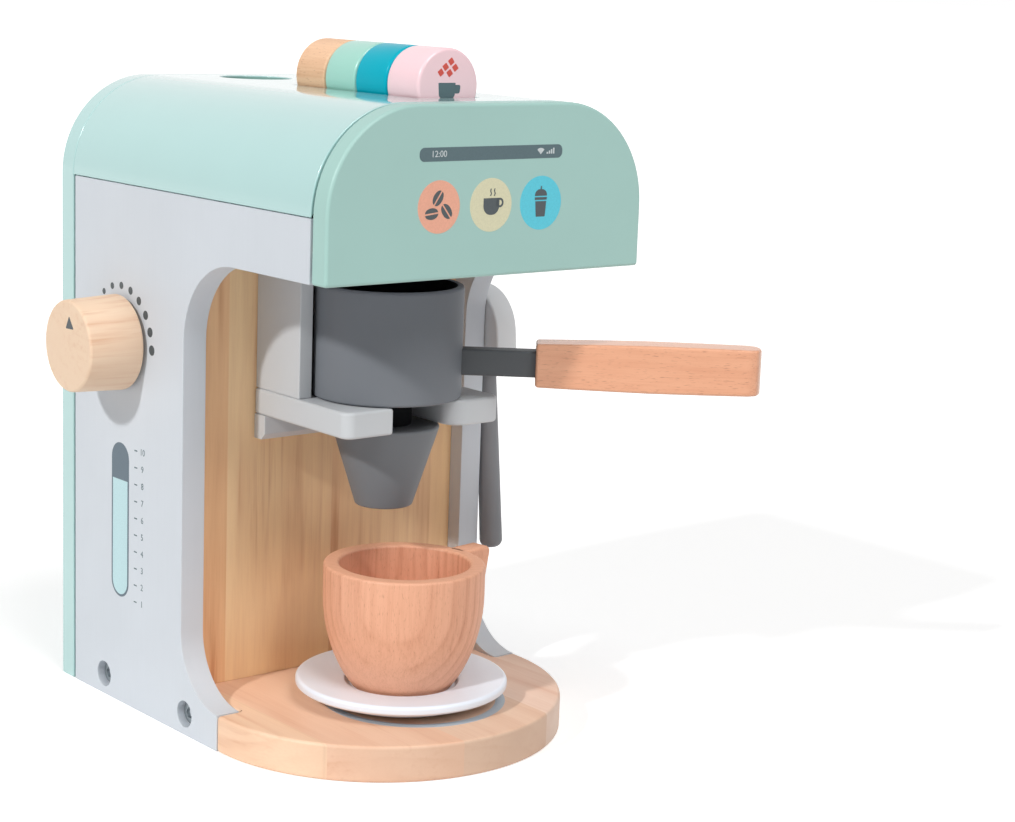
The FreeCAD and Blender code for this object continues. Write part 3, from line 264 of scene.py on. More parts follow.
@dataclass(frozen=True)
class Wood(Finish):
    """Sawn or turned wood with rings round a heart, fibres, flecks and glued staves."""

    pale: RGB
    dark: RGB
    grain: Triple = (0, 0, 1)
    side: Triple = (1, 0, 0)
    heart: tuple[float, float] = (10.0, 60.0)
    ring: float = 5.0
    rings: float = 0.4
    bands: float = 0.3
    streaks: float = 0.3
    threads: float = 0.25
    sway: float = 9.0
    lean: float = 0.03
    flecks: float = 0.0
    fleck_width: float = 0.4
    fleck_length: float = 2.5
    fleck_colour: RGB = (150, 92, 60)
    staves: tuple[tuple[float, Triple], ...] = ()
    stave_span: tuple[float, float] = (-80.0, 80.0)
    roughness: float = 0.5
    coat: float = 0.0
    ends: float = 0.14

    def make(self) -> bpy.types.Material:
        """Make the wood's material."""
        recipe = Recipe(self.label)
        grain = Vector(self.grain).normalized()
        side = Vector(self.side).normalized()
        run = recipe.along(recipe.place, grain)
        across = recipe.along(recipe.place, side)
        deep = recipe.along(recipe.place, grain.cross(side))
        tint = None
        if self.staves:
            tint, across, deep, run = self.split_into_staves(recipe, across, deep, run)
        slow = recipe.join(across, deep, recipe.math("MULTIPLY", run, 0.16))
        wander = recipe.math("MULTIPLY_ADD", recipe.noise(slow, 26.0, 2.0), self.sway * MM,
                             recipe.math("MULTIPLY", run, self.lean))
        u = recipe.math("SUBTRACT", across, self.heart[0] * MM)
        v = recipe.math("SUBTRACT", deep, self.heart[1] * MM)
        away = recipe.math("SQRT", recipe.math("MULTIPLY_ADD", u, u, recipe.math("MULTIPLY", v, v)))
        turns = recipe.math("DIVIDE", recipe.math("ADD", away, wander), self.ring * MM)
        late = recipe.ramp(recipe.math("FRACT", turns), (0.0, (0.15,) * 3), (0.12, (0.0,) * 3),
                           (0.62, (0.35,) * 3), (0.9, (1.0,) * 3), (1.0, (0.15,) * 3))
        patch = recipe.spread(self.fibres(recipe, across, deep, run, 0.35, 38.0, 1.0),
                              0.38, 0.62, 0.1, 1.0)
        thread = self.fibres(recipe, across, deep, run, 0.045, 1300.0)
        streak = self.fibres(recipe, across, deep, run, 0.035, 420.0)
        depth = recipe.math("MULTIPLY", patch, recipe.math(
            "ADD", recipe.math("MULTIPLY", late, self.rings),
            recipe.spread(streak, 0.5, 0.72, 0.0, self.streaks)))
        for share, noise, low, high in (
                (self.bands, self.fibres(recipe, across, deep, run, 0.10, 55.0), 0.38, 0.66),
                (self.threads, thread, 0.45, 0.75)):
            depth = recipe.math("ADD", depth, recipe.spread(noise, low, high, 0.0, share))
        faces_out = recipe.add("ShaderNodeTexCoord").outputs["Normal"]
        end = recipe.spread(recipe.math("ABSOLUTE", recipe.along(faces_out, grain)), 0.45, 0.95,
                            0.0, 1.0)
        calm = recipe.math("MULTIPLY_ADD", end, -0.6, 1.0)
        colour = recipe.blend(recipe.math("MINIMUM", recipe.math("MULTIPLY", depth, calm), 1.0),
                              on_screen(self.pale), on_screen(self.dark))
        if tint is not None:
            colour = recipe.blend(1.0, colour, tint, "MULTIPLY")
        if self.flecks:
            dash = self.fibres(recipe, across, deep, run, self.fleck_width / self.fleck_length,
                               1000 / self.fleck_width, 1.0)
            colour = recipe.blend(recipe.spread(dash, 0.62, 0.74, 0.0, self.flecks), colour,
                                  on_screen(self.fleck_colour))
        shade = recipe.math("MULTIPLY_ADD", end, -self.ends, 1.0)
        colour = recipe.blend(1.0, colour, recipe.grey(shade), "MULTIPLY")
        return recipe.finish(colour, recipe.spread(thread, 0.3, 0.7, self.roughness + 0.08,
                                                   self.roughness), thread, 0.03,
                             Coat_Weight=self.coat, Coat_Roughness=0.25)

    @staticmethod
    def fibres(recipe: Recipe, across: Socket, deep: Socket, run: Socket, stretch: float,
               scale: float, detail: float = 3.0) -> Socket:
        """Give noise that is drawn out along the grain.

        Args:
            recipe: the material's nodes.
            across: the place across the grain.
            deep: the place through the board.
            run: the place along the grain.
            stretch: how fast it changes along the grain, as a share of that across it.
            scale: fibres per metre across the grain.
            detail: finer fibres on top.

        Returns:
            The noise.
        """
        place = recipe.join(across, deep, recipe.math("MULTIPLY", run, stretch))
        return recipe.noise(place, scale, detail, 0.55)

    def split_into_staves(self, recipe: Recipe, across: Socket, deep: Socket,
                          run: Socket) -> tuple[Socket, Socket, Socket, Socket]:
        """Give each glued stave a tint, rings of its own and a fine glue line.

        Args:
            recipe: the material's nodes.
            across: the place across the staves.
            deep: the place through the board.
            run: the place along the grain.

        Returns:
            The tint, and the three places shifted from stave to stave.
        """
        low, high = self.stave_span
        share = recipe.spread(across, low * MM, high * MM, 0.0, 1.0)
        starts = [(start - low) / (high - low) for start, _ in self.staves]
        tints = recipe.ramp(share, *zip(starts, (tint for _, tint in self.staves)), steps=True)
        shifts = [(0.37 + 0.618 * number) % 1.0 for number in range(len(starts))]
        shift = recipe.ramp(share, *((start, (move,) * 3) for start, move in zip(starts, shifts)),
                            steps=True)
        lines: list[tuple[float, Triple]] = [(0.0, (1, 1, 1))]
        for start in starts[1:]:
            lines += [(start - 0.0016, (1, 1, 1)), (start, (0.84, 0.8, 0.76)),
                      (start + 0.0016, (1, 1, 1))]
        line = recipe.ramp(share, *lines)
        return (recipe.blend(1.0, tints, line, "MULTIPLY"),
                recipe.math("MULTIPLY_ADD", shift, 0.06, across),
                recipe.math("MULTIPLY_ADD", shift, 0.03, deep),
                recipe.math("MULTIPLY_ADD", shift, 3.0, run))


@dataclass(frozen=True)
class Metal(Finish):
    """Plated steel with fine marks."""

    colour: RGB = (150, 158, 162)
    roughness: float = 0.3

    def make(self) -> bpy.types.Material:
        """Make the metal's material."""
        recipe = Recipe(self.label)
        marks = recipe.noise(recipe.place, 2400.0, 3.0)
        shade = recipe.spread(marks, 0.3, 0.7, 0.82, 1.0)
        colour = recipe.blend(1.0, on_screen(self.colour), recipe.grey(shade), "MULTIPLY")
        return recipe.finish(colour, recipe.spread(marks, 0.3, 0.7, self.roughness + 0.12,
                                                   self.roughness), marks, 0.01, Metallic=1.0)


@dataclass(frozen=True)
class Ink(Finish):
    """A thin printed ink with tiny uneven spots."""

    colour: RGB

    def make(self) -> bpy.types.Material:
        """Make the ink's material."""
        recipe = Recipe(self.label)
        spots = recipe.noise(recipe.place, 1800.0, 2.0)
        shade = recipe.spread(spots, 0.35, 0.65, 0.93, 1.0)
        colour = recipe.blend(1.0, on_screen(self.colour), recipe.grey(shade), "MULTIPLY")
        return recipe.finish(colour, 0.5)


HANDLE_TURN = math.radians(-40.3)
HANDLE_WAY = (math.cos(HANDLE_TURN), math.sin(HANDLE_TURN), 0.0)
HANDLE_SIDE = (-math.sin(HANDLE_TURN), math.cos(HANDLE_TURN), 0.0)

WALL_PINE = Wood("wall_pine", "pine_wall", (255, 222, 178), (190, 122, 82), (0, 0, 1), (1, 0, 0),
                 (30, 50), 7.0, 0.26, 0.26, 0.36, 0.08, 10.0, 0.012,
                 staves=((-80, (1.0, 0.90, 0.82)), (-49.8, (1.0, 0.99, 0.95)),
                         (1.5, (0.99, 0.95, 0.90)), (53.5, (0.98, 0.92, 0.84))))
BASE_PINE = Wood("base_pine", "pine", (246, 214, 190), (206, 142, 104), (0, 1, 0), (1, 0, 0),
                 (20, 80), 7.0, 0.26, 0.22, 0.26, 0.08, 14.0, 0.03,
                 staves=((-80, (1.0, 0.96, 0.88)), (-58.6, (0.98, 0.90, 0.84)),
                         (-13.5, (0.90, 0.86, 0.82)), (34, (0.97, 1.0, 1.05))), ends=0.2)
KNOB_PINE = Wood("knob_pine", "pine_knob", (240, 212, 184), (204, 140, 98), (1, 0, 0),
                 (0, 1, 0), (30, 190), 5.0, 0.12, 0.16, 0.46, 0.06, 5.0, 0.02, ends=0.03)
GRIP_BEECH = Wood("grip_beech", "beech", (233, 171, 134), (196, 120, 80), HANDLE_WAY,
                  HANDLE_SIDE, (12, 120), 5.0, 0.14, 0.25, 0.2, 0.2, 6.0, 0.02, 0.5, 0.35, 3.2, coat=0.9)
CUP_BEECH = Wood("cup_beech", "beech_cup", (234, 176, 144), (182, 108, 74), (0.05, 0, 1),
                 (1, 0, 0), (34, -12), 3.4, 0.30, 0.10, 0.24, 0.2, 3.0, 0.02, 0.34, 0.3, 2.2,
                 ends=0.0)
CAPSULE_BEECH = Wood("capsule_beech", "beech_capsule", (244, 202, 166), (200, 136, 92),
                     (0, 1, 0), (1, 0, 0), (6, 240), 4.0, 0.2, 0.25, 0.3, 0.15, 5.0, 0.02, 0.4)
DOWEL_BEECH = Wood("dowel_beech", "dowel_wood", (226, 186, 142), (196, 148, 104))

SIDE_PAINT = Paint("side_paint", "panel_paint", (210, 216, 223), 0.5, pores=0.008)
SAGE_PAINT = Paint("sage_paint", "sage_paint", (167, 205, 198), 0.42)
SHELL_PAINT = Paint("shell_paint", "mint_gloss", (174, 213, 211), 0.22, 1.0, 0.02, 0.0)
# Darker, duller mint for the walls of the hopper's hole: the darker colour is painted shade inside the
# hole, the dullness keeps off the white reflection.
HOPPER_SHADE_PAINT = Paint("hopper_shade_paint", "mint_gloss", (138, 176, 168), 0.7, gloss=0.1)
FORK_PAINT = Paint("fork_paint", "shelf_paint", (204, 207, 210), 0.45)
SHELF_PAINT = FORK_PAINT
GROUP_PAINT = Paint("group_paint", "group_paint", (214, 216, 218), 0.45)
SLATE_PAINT = Paint("slate_paint", "slate_paint", (120, 124, 130), 0.55, gloss=0.2)
# Near-black slate: painted shade inside the filter basket, and on the spout's neck its own dark grey
# with painted shade of the fork's slot on top.
SLATE_SHADE_PAINT = Paint("slate_shade", "slate_paint", (24, 25, 27), 0.8, gloss=0.1)
SPOUT_PAINT = Paint("spout_paint", "spout_paint", (118, 121, 125), 0.5, gloss=0.2)
BAR_PAINT = Paint("bar_paint", "bar_paint", (92, 95, 98), 0.5, gloss=0.2)
STEAM_PAINT = Paint("steam_paint", "steam_paint", (220, 222, 224), 0.45)
WAND_PAINT = Paint("wand_paint", "wand_paint", (140, 142, 146), 0.5, gloss=0.2)
SAUCER_PAINT = Paint("saucer_paint", "white_paint", (236, 244, 255), 0.35, 0.2)
PINK_PAINT = Paint("pink_paint", "pink_paint", (254, 214, 221), 0.3, 0.3, 0.02, 0.004)
TEAL_PAINT = Paint("teal_paint", "teal_paint", (0, 174, 196), 0.3, 0.04, 0.02, 0.004, gloss=0.1)
MINT_PAINT = Paint("mint_paint", "mint_paint", (160, 214, 200), 0.3, 0.3, 0.02, 0.004)
ZINC = Metal("zinc", "steel")

INK_SLATE = Ink("ink_slate", "slate_paint", (86, 108, 114))
INK_DARK = Ink("ink_dark", "slate_paint", (76, 84, 88))
INK_PALE = Ink("ink_pale", "white_paint", (206, 214, 216))
INK_GAUGE = Ink("ink_gauge", "slate_paint", (96, 112, 124))
INK_ORANGE = Ink("ink_orange", "beech", (242, 176, 150))
INK_CREAM = Ink("ink_cream", "pine", (224, 220, 186))
INK_BLUE = Ink("ink_blue", "teal_paint", (94, 208, 228))
INK_AQUA = Ink("ink_aqua", "mint_paint", (192, 224, 229))
INK_GREY = Ink("ink_grey", "spout_paint", (176, 188, 198))
INK_RED = Ink("ink_red", "pink_paint", (222, 84, 72))


# Modelling steps


def clear_selection() -> None:
    """Go to object mode with nothing selected."""
    if bpy.context.object and bpy.context.object.mode != "OBJECT":
        bpy.ops.object.mode_set(mode="OBJECT")
    bpy.ops.object.select_all(action="DESELECT")


def take(piece: Piece) -> Piece:
    """Select one piece alone and make it active."""
    clear_selection()
    piece.select_set(True)
    bpy.context.view_layer.objects.active = piece
    return piece


def called(name: str) -> Piece:
    """Name the active object and its mesh."""
    piece = bpy.context.object
    piece.name = piece.data.name = name
    return piece


@contextmanager
def editing(piece: Piece, kind: str = "FACE") -> Iterator[None]:
    """Work on a piece in edit mode, with nothing selected at the start.

    Args:
        piece: the piece to edit.
        kind: VERT, EDGE or FACE.

    Yields:
        Nothing; the piece is in edit mode meanwhile.
    """
    take(piece)
    bpy.ops.object.mode_set(mode="EDIT")
    bpy.ops.mesh.select_mode(type=kind)
    bpy.ops.mesh.select_all(action="DESELECT")
    yield
    bpy.ops.object.mode_set(mode="OBJECT")


def pick_edges(piece: Piece, wanted: Callable[[Vector, Vector], bool]) -> None:
    """Select edges by their ends.

    Args:
        piece: the piece in edit mode.
        wanted: a test on the two ends, in millimetres.
    """
    mesh = bmesh.from_edit_mesh(piece.data)
    for edge in mesh.edges:
        if wanted(edge.verts[0].co / MM, edge.verts[1].co / MM):
            edge.select_set(True)
    bmesh.update_edit_mesh(piece.data)


def pick_verts(piece: Piece, wanted: Callable[[Vector], bool]) -> None:
    """Select points by their place.

    Args:
        piece: the piece in edit mode.
        wanted: a test on the place, in millimetres.
    """
    mesh = bmesh.from_edit_mesh(piece.data)
    for vert in mesh.verts:
        vert.select_set(wanted(vert.co / MM))
    mesh.select_flush(True)
    bmesh.update_edit_mesh(piece.data)


def settle(piece: Piece, matrix: Matrix) -> Piece:
    """Bring a piece to its place and put the place into its mesh.

    Args:
        piece: the piece, modelled round the origin.
        matrix: its place and turn, in metres.

    Returns:
        The piece.
    """
    take(piece)
    piece.matrix_world = matrix
    bpy.ops.object.transform_apply(location=True, rotation=True, scale=True)
    return piece


def smooth(piece: Piece, angle: float = 32.0) -> Piece:
    """Shade a piece smooth up to an angle in degrees."""
    take(piece)
    bpy.ops.object.shade_smooth_by_angle(angle=math.radians(angle))
    return piece


def block(name: str, low: Sequence[float], high: Sequence[float]) -> Piece:
    """Add a squared block.

    Args:
        name: the piece's name.
        low: its lowest corner, in millimetres.
        high: its highest corner.

    Returns:
        The block, still sharp.
    """
    clear_selection()
    low, high = Vector(low) * MM, Vector(high) * MM
    bpy.ops.mesh.primitive_cube_add(size=1.0, location=(low + high) / 2)
    bpy.context.object.scale = high - low
    bpy.ops.object.transform_apply(location=True, rotation=True, scale=True)
    return called(name)


def round_along(piece: Piece, way: int, radius: float, steps: int,
                wanted: Callable[[Vector], bool]) -> Piece:
    """Round the edges that run along one axis.

    Args:
        piece: the piece to round.
        way: 0, 1 or 2 for edges along X, Y or Z.
        radius: radius in millimetres.
        steps: facets of the rounding.
        wanted: a test on an edge's middle, in millimetres.

    Returns:
        The piece.
    """
    with editing(piece, "EDGE"):
        pick_edges(piece, lambda a, b: all(abs(a[i] - b[i]) < 0.01 for i in range(3) if i != way)
                   and wanted((a + b) / 2))
        bpy.ops.mesh.bevel(offset=radius * MM, segments=steps, profile=0.5, clamp_overlap=False)
        bpy.ops.mesh.select_all(action="SELECT")
        bpy.ops.mesh.remove_doubles(threshold=1e-6)
    return piece


def cut(piece: Piece, *tools: Piece) -> Piece:
    """Cut tools out of a piece and throw the tools away."""
    return carve(piece, "DIFFERENCE", *tools)


def carve(piece: Piece, way: str, *tools: Piece) -> Piece:
    """Join or cut pieces by a boolean modifier that is applied.

    Args:
        piece: the piece that stays.
        way: UNION, DIFFERENCE or INTERSECT.
        tools: the pieces that are used up.

    Returns:
        The piece.
    """
    for tool in tools:
        take(piece)
        modifier = piece.modifiers.new("carve", "BOOLEAN")
        modifier.operation = way
        modifier.solver = "EXACT"
        modifier.object = tool
        bpy.ops.object.modifier_apply(modifier=modifier.name)
        bpy.data.objects.remove(tool)
    return piece


def ease(piece: Piece, width: float = 0.5, steps: int = 2, angle: float = 32.0) -> Piece:
    """Sand the sharp edges of a piece round and shade it.

    Args:
        piece: the piece to finish.
        width: radius of the edges in millimetres.
        steps: facets of each rounding.
        angle: edges sharper than this many degrees are sanded.

    Returns:
        The piece.
    """
    take(piece)
    modifier = piece.modifiers.new("ease", "BEVEL")
    modifier.width = width * MM
    modifier.segments = steps
    modifier.limit_method = "ANGLE"
    modifier.angle_limit = math.radians(angle)
    modifier.use_clamp_overlap = False
    modifier.miter_outer = "MITER_ARC"
    modifier.harden_normals = False
    bpy.ops.object.modifier_apply(modifier=modifier.name)
    with editing(piece, "VERT"):
        bpy.ops.mesh.select_all(action="SELECT")
        bpy.ops.mesh.remove_doubles(threshold=1e-6)
    smooth(piece)
    level = piece.modifiers.new("level", "WEIGHTED_NORMAL")
    level.keep_sharp = True
    bpy.ops.object.modifier_apply(modifier=level.name)
    return piece


@dataclass(frozen=True)
class Corner:
    """A corner of an outline or profile, with the radius that rounds it."""

    u: float
    v: float
    radius: float = 0.0


def rounded(corners: Sequence[Corner], closed: bool = True, steps: int = 8) -> list[Vector]:
    """Round the corners of an outline.

    Args:
        corners: the outline's corners in order.
        closed: False for a profile that starts and ends at its first and last corners.
        steps: facets of each rounding.

    Returns:
        The outline's points.
    """
    points: list[Vector] = []
    count = len(corners)
    for number, corner in enumerate(corners):
        here = Vector((corner.u, corner.v))
        if not corner.radius or (not closed and number in (0, count - 1)):
            points.append(here)
            continue
        before, after = corners[number - 1], corners[(number + 1) % count]
        back = (Vector((before.u, before.v)) - here).normalized()
        ahead = (Vector((after.u, after.v)) - here).normalized()
        half = back.angle(ahead) / 2
        centre = here + (back + ahead).normalized() * corner.radius / math.sin(half)
        start = here + back * corner.radius / math.tan(half) - centre
        end = here + ahead * corner.radius / math.tan(half) - centre
        sweep = math.atan2(start.x * end.y - start.y * end.x, start.dot(end))
        first = math.atan2(start.y, start.x)
        for step in range(steps + 1):
            turn = first + sweep * step / steps
            points.append(centre + Vector((math.cos(turn), math.sin(turn))) * corner.radius)
    return points


def bowed(start: tuple[float, float], end: tuple[float, float], radius: float,
          steps: int = 8) -> list[Corner]:
    """Give the points between two places on an arc that bulges to the right of the way.

    Args:
        start: where the arc starts.
        end: where it ends.
        radius: radius of the arc; a negative one bulges to the left.
        steps: facets of the arc.

    Returns:
        The corners between start and end.
    """
    a, b = Vector(start), Vector(end)
    chord = b - a
    left = Vector((-chord.y, chord.x)).normalized() * math.copysign(1, radius)
    centre = (a + b) / 2 + left * math.sqrt(radius ** 2 - (chord.length / 2) ** 2)
    first, last = a - centre, b - centre
    sweep = math.atan2(first.x * last.y - first.y * last.x, first.dot(last))
    turn = math.atan2(first.y, first.x)
    return [Corner(centre.x + math.cos(turn + sweep * i / steps) * abs(radius),
                   centre.y + math.sin(turn + sweep * i / steps) * abs(radius))
            for i in range(1, steps)]


def chain(name: str, points: Sequence[Vector], upright: bool) -> Piece:
    """Draw a chain of edges by extruding one point along a path.

    Args:
        name: the piece's name.
        points: the path, in millimetres.
        upright: True puts the second number along Z, False along Y.

    Returns:
        The chain as a piece.
    """
    clear_selection()
    bpy.ops.mesh.primitive_plane_add(size=MM)
    piece = called(name)

    def spot(point: Vector) -> Vector:
        """Bring a point of the path to metres in space."""
        return Vector((point.x, 0, point.y) if upright else (point.x, point.y, 0)) * MM

    with editing(piece, "VERT"):
        bpy.ops.mesh.select_all(action="SELECT")
        bpy.ops.mesh.merge(type="CENTER")
        bpy.ops.transform.translate(value=spot(points[0]))
        for before, after in zip(points, points[1:]):
            step = spot(after) - spot(before)
            bpy.ops.mesh.extrude_vertices_move(TRANSFORM_OT_translate={"value": step})
    return piece


def turned(name: str, corners: Sequence[Corner], steps: int = 96) -> Piece:
    """Turn a profile round the Z axis, as on a lathe.

    Args:
        name: the piece's name.
        corners: the profile as radius and height, from the axis back to the axis.
        steps: facets round the axis.

    Returns:
        The turned piece at the origin.
    """
    piece = chain(name, rounded(corners, closed=False), upright=True)
    with editing(piece, "VERT"):
        bpy.ops.mesh.select_all(action="SELECT")
        bpy.ops.mesh.spin(steps=steps, angle=2 * math.pi, center=(0, 0, 0), axis=(0, 0, 1))
        bpy.ops.mesh.select_all(action="SELECT")
        bpy.ops.mesh.remove_doubles(threshold=2e-6)
        bpy.ops.mesh.normals_make_consistent(inside=False)
    return smooth(piece)


@dataclass(frozen=True)
class Face:
    """A flat face to build on: its origin and the directions across and up it."""

    origin: Triple
    across: Triple
    up: Triple

    def matrix(self, u: float = 0.0, v: float = 0.0, lift: float = 0.0) -> Matrix:
        """Give the place of something that is drawn flat round the origin.

        Args:
            u: millimetres across the face.
            v: millimetres up the face.
            lift: millimetres out of the face.

        Returns:
            The matrix that brings it to the face.
        """
        across, up = Vector(self.across), Vector(self.up)
        out = across.cross(up)
        where = (Vector(self.origin) + across * u + up * v + out * lift) * MM
        turn = Matrix((across, up, out)).transposed().to_4x4()
        return Matrix.Translation(where) @ turn


def sawn(name: str, corners: Sequence[Corner], thickness: float, face: Face,
         steps: int = 8) -> Piece:
    """Saw a board to an outline.

    Args:
        name: the piece's name.
        corners: the outline on the face.
        thickness: millimetres out of the face.
        face: where the board's underside lies.
        steps: facets of each rounded corner.

    Returns:
        The board, still sharp.
    """
    piece = chain(name, rounded(corners, steps=steps), upright=False)
    with editing(piece, "VERT"):
        bpy.ops.mesh.select_all(action="SELECT")
        bpy.ops.mesh.edge_face_add()
        bpy.ops.mesh.select_all(action="SELECT")
        bpy.ops.mesh.extrude_region_move(
            TRANSFORM_OT_translate={"value": (0, 0, thickness * MM)})
        bpy.ops.mesh.select_all(action="SELECT")
        bpy.ops.mesh.normals_make_consistent(inside=False)
    return settle(piece, face.matrix())


def joined(name: str, parts: Sequence[Piece]) -> Piece:
    """Join pieces into one mesh."""
    clear_selection()
    for part in parts:
        part.select_set(True)
    bpy.context.view_layer.objects.active = parts[0]
    if len(parts) > 1:
        bpy.ops.object.join()
    return called(name)


def copied(piece: Piece, matrix: Matrix) -> Piece:
    """Copy a piece with a mesh of its own and bring the copy to a place."""
    take(piece)
    bpy.ops.object.duplicate(linked=False)
    return settle(bpy.context.object, matrix @ bpy.context.object.matrix_world)


LEFT = Face((-75.0, 0, 0), (0, -1, 0), (0, 0, 1))
RIGHT = Face((75.0, 0, 0), (0, 1, 0), (0, 0, 1))
FRONT = Face((0, -93.5, 0), (1, 0, 0), (0, 0, 1))
BACK = Face((0, 93.5, 0), (-1, 0, 0), (0, 0, 1))
BASE_TOP = Face((0, 0, 14.5), (1, 0, 0), (0, 1, 0))
KNOB_FACE = Face((-99.8, 44.4, 150.8), (0, -1, 0), (0, 0, 1))
LYING_BACK = Matrix.Rotation(math.radians(-90), 4, "X")
TO_THE_LEFT = Matrix.Rotation(math.radians(-90), 4, "Y")
TO_THE_RIGHT = Matrix.Rotation(math.radians(90), 4, "Y")


def at(x: float, y: float, z: float) -> Matrix:
    """Give the matrix of a place in millimetres."""
    return Matrix.Translation(Vector((x, y, z)) * MM)


# Sub-assemblies


@dataclass
class SubAssembly:
    """Pieces that move together on one body of the model."""

    body: ClassVar[str] = "case"
    pieces: list[Piece] = field(default_factory=list, init=False)

    def keep(self, piece: Piece, finish: Finish, *nodes: str, body: str | None = None) -> Piece:
        """Dress a piece, let it ride on its body and let it stand for CAD nodes.

        Args:
            piece: the finished piece.
            finish: its finish.
            nodes: the CAD nodes that it stands for.
            body: the body, where it isn't the sub-assembly's own.

        Returns:
            The piece.
        """
        piece.data.materials.clear()
        piece.data.materials.append(finish.material())
        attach(piece, body or self.body)
        if nodes:
            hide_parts(*nodes)
        self.pieces.append(piece)
        return piece

    def dress_node(self, node: str, finish: Finish) -> None:
        """Give a CAD node that stays as it is a better material."""
        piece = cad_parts[node]
        for slot in piece.material_slots:
            slot.material = finish.material()
        if not piece.material_slots:
            piece.data.materials.append(finish.material())
        self.pieces.append(piece)

    def build(self) -> list[Piece]:
        """Build the sub-assembly's pieces; each class has its own."""
        raise NotImplementedError


@dataclass
class Case(SubAssembly):
    """Base, side panels, arched plates, shell and pine wall."""

    half_width: float = 75.0
    wall: float = 10.5
    front: float = -93.5
    plate_inner: float = -84.5
    back_inner: float = 84.0
    back: float = 93.5
    height: float = 254.0
    arch: float = 40.0
    arm_under: float = 190.0
    shoulder: float = 214.0
    base_wall: float = 14.5
    apron_centre: float = -30.0
    bay_edge: float = -0.8
    foot_edge: float = -27.5
    bay_round: float = 32.7
    slot_half: float = 14.9
    slot_front: float = -65.3
    slot_back: float = 15.25
    hopper_centre: float = 64.5
    hopper_radius: float = 15.0
    counterbore: float = 5.3
    screw_level: float = 8.6
    joint: float = 0.35
    front_joint: float = 0.8
    back_joint: float = 1.3
    screw_places: tuple[float, float] = (-3.8, 58.7)

    def build(self) -> list[Piece]:
        """Build the case.

        Returns:
            Its pieces.
        """
        self.keep(self.base(), BASE_PINE, "base_plate")
        self.keep(self.side_panel("left_panel", LEFT), SIDE_PAINT, "left_side_panel")
        self.keep(self.side_panel("right_panel", RIGHT), SIDE_PAINT, "right_side_panel")
        self.keep(self.arched_plate("front_fascia", FRONT, self.arm_under, 9.0), SAGE_PAINT,
                  "front_plate")
        self.keep(self.arched_plate("back_panel", BACK, 0.0, 9.5), SHELL_PAINT, "back_plate")
        self.shade_hopper_walls(self.keep(self.shell(), SHELL_PAINT, "top_shell"))
        wall = block("pine_back_wall", (-64.5, 6.5, self.base_wall), (64.5, 15.5, self.arm_under))
        self.keep(ease(wall, 0.3), WALL_PINE, "rear_wall")
        self.screws()
        for node in ("capsule_shelf", "arm_deck"):
            self.dress_node(node, SIDE_PAINT)
        for node in ("front_dowels", "shell_dowels", "cheek_dowels"):
            self.dress_node(node, DOWEL_BEECH)
        for node in ("knob_washer", "fork_screws", "steam_screw"):
            self.dress_node(node, ZINC)
        return self.pieces

    def base(self) -> Piece:
        """Build the base with its half-round apron."""
        apron = block("base_board", (-75, self.apron_centre - 75, 0),
                      (75, self.foot_edge, self.base_wall))
        round_along(apron, 2, 74.99, 48, lambda middle: middle.y < -100)
        tail = block("tail", (-64.5, self.foot_edge - 1, 0), (64.5, 84, self.base_wall))
        return ease(carve(apron, "UNION", tail), 1.4, 3, 50)

    def side_panel(self, name: str, face: Face) -> Piece:
        """Build a side panel with its C-shaped opening and counterbores.

        Args:
            name: the piece's name.
            face: the outside of the case.

        Returns:
            The panel.
        """
        way = -face.across[1]
        back, top = self.back_joint - self.back_inner, self.shoulder - self.joint
        front = -self.plate_inner - self.front_joint
        corners = [Corner(back, 0), Corner(-self.foot_edge, 0),
                   Corner(-self.foot_edge, self.base_wall),
                   Corner(-self.bay_edge, self.base_wall, self.bay_edge - self.foot_edge - 0.01),
                   Corner(-self.bay_edge, self.arm_under, self.bay_round),
                   Corner(front, self.arm_under), Corner(front, top), Corner(back, top)]
        start = face.origin[0] + (self.wall if way > 0 else 0)
        inner = Face((start, 0, 0), (0, -1, 0), (0, 0, 1))
        panel = sawn(name, corners, self.wall, inner, 14)
        for y in self.screw_places:
            bore = turned("bore", [Corner(0, -4), Corner(self.counterbore, -4),
                                   Corner(self.counterbore, 5), Corner(0, 5)], 48)
            cut(panel, settle(bore, at(face.origin[0], y, self.screw_level)
                              @ (TO_THE_LEFT if way > 0 else TO_THE_RIGHT)))
        return ease(panel, 0.45)

    def arched_plate(self, name: str, face: Face, low: float, wall: float) -> Piece:
        """Build a plate with an arched top.

        Args:
            name: the piece's name.
            face: the outside of the case.
            low: lower edge.
            wall: thickness.

        Returns:
            The plate.
        """
        side, top = self.half_width, self.height
        corners = [Corner(-side, low), Corner(side, low), Corner(side, top, self.arch),
                   Corner(-side, top, self.arch)]
        y = face.origin[1] + wall * (1 if face.origin[1] < 0 else 0)
        plate = sawn(name, corners, wall, Face((0, y, 0), (1, 0, 0), (0, 0, 1)), 20)
        return ease(plate, 1.3 if y < 0 else 0.6, 4)

    def shell(self) -> Piece:
        """Build the arched shell with its slot and hopper."""
        side, top, wall = self.half_width, self.height, self.wall
        depth = self.back_inner - self.plate_inner - self.front_joint
        face = Face((0, self.back_inner, 0), (1, 0, 0), (0, 0, 1))
        shell = sawn("arched_shell", [Corner(-side, self.shoulder), Corner(side, self.shoulder),
                                      Corner(side, top, self.arch - 0.02),
                                      Corner(-side, top, self.arch - 0.02)], depth, face, 24)
        inner = self.arch - wall
        hollow = sawn("hollow", [Corner(wall - side, self.shoulder - 5),
                                 Corner(side - wall, self.shoulder - 5),
                                 Corner(side - wall, top - wall, inner),
                                 Corner(wall - side, top - wall, inner)], depth + 10,
                      Face((0, self.back_inner + 5, 0), (1, 0, 0), (0, 0, 1)), 16)
        slot = block("slot", (-self.slot_half, self.slot_front, top - 20),
                     (self.slot_half, self.slot_back, top + 5))
        hopper = turned("hopper", [Corner(0, -20), Corner(self.hopper_radius, -20),
                                   Corner(self.hopper_radius, 5), Corner(0, 5)])
        settle(hopper, at(0, self.hopper_centre, top))
        return ease(cut(shell, hollow, slot, hopper), 0.5, 3)

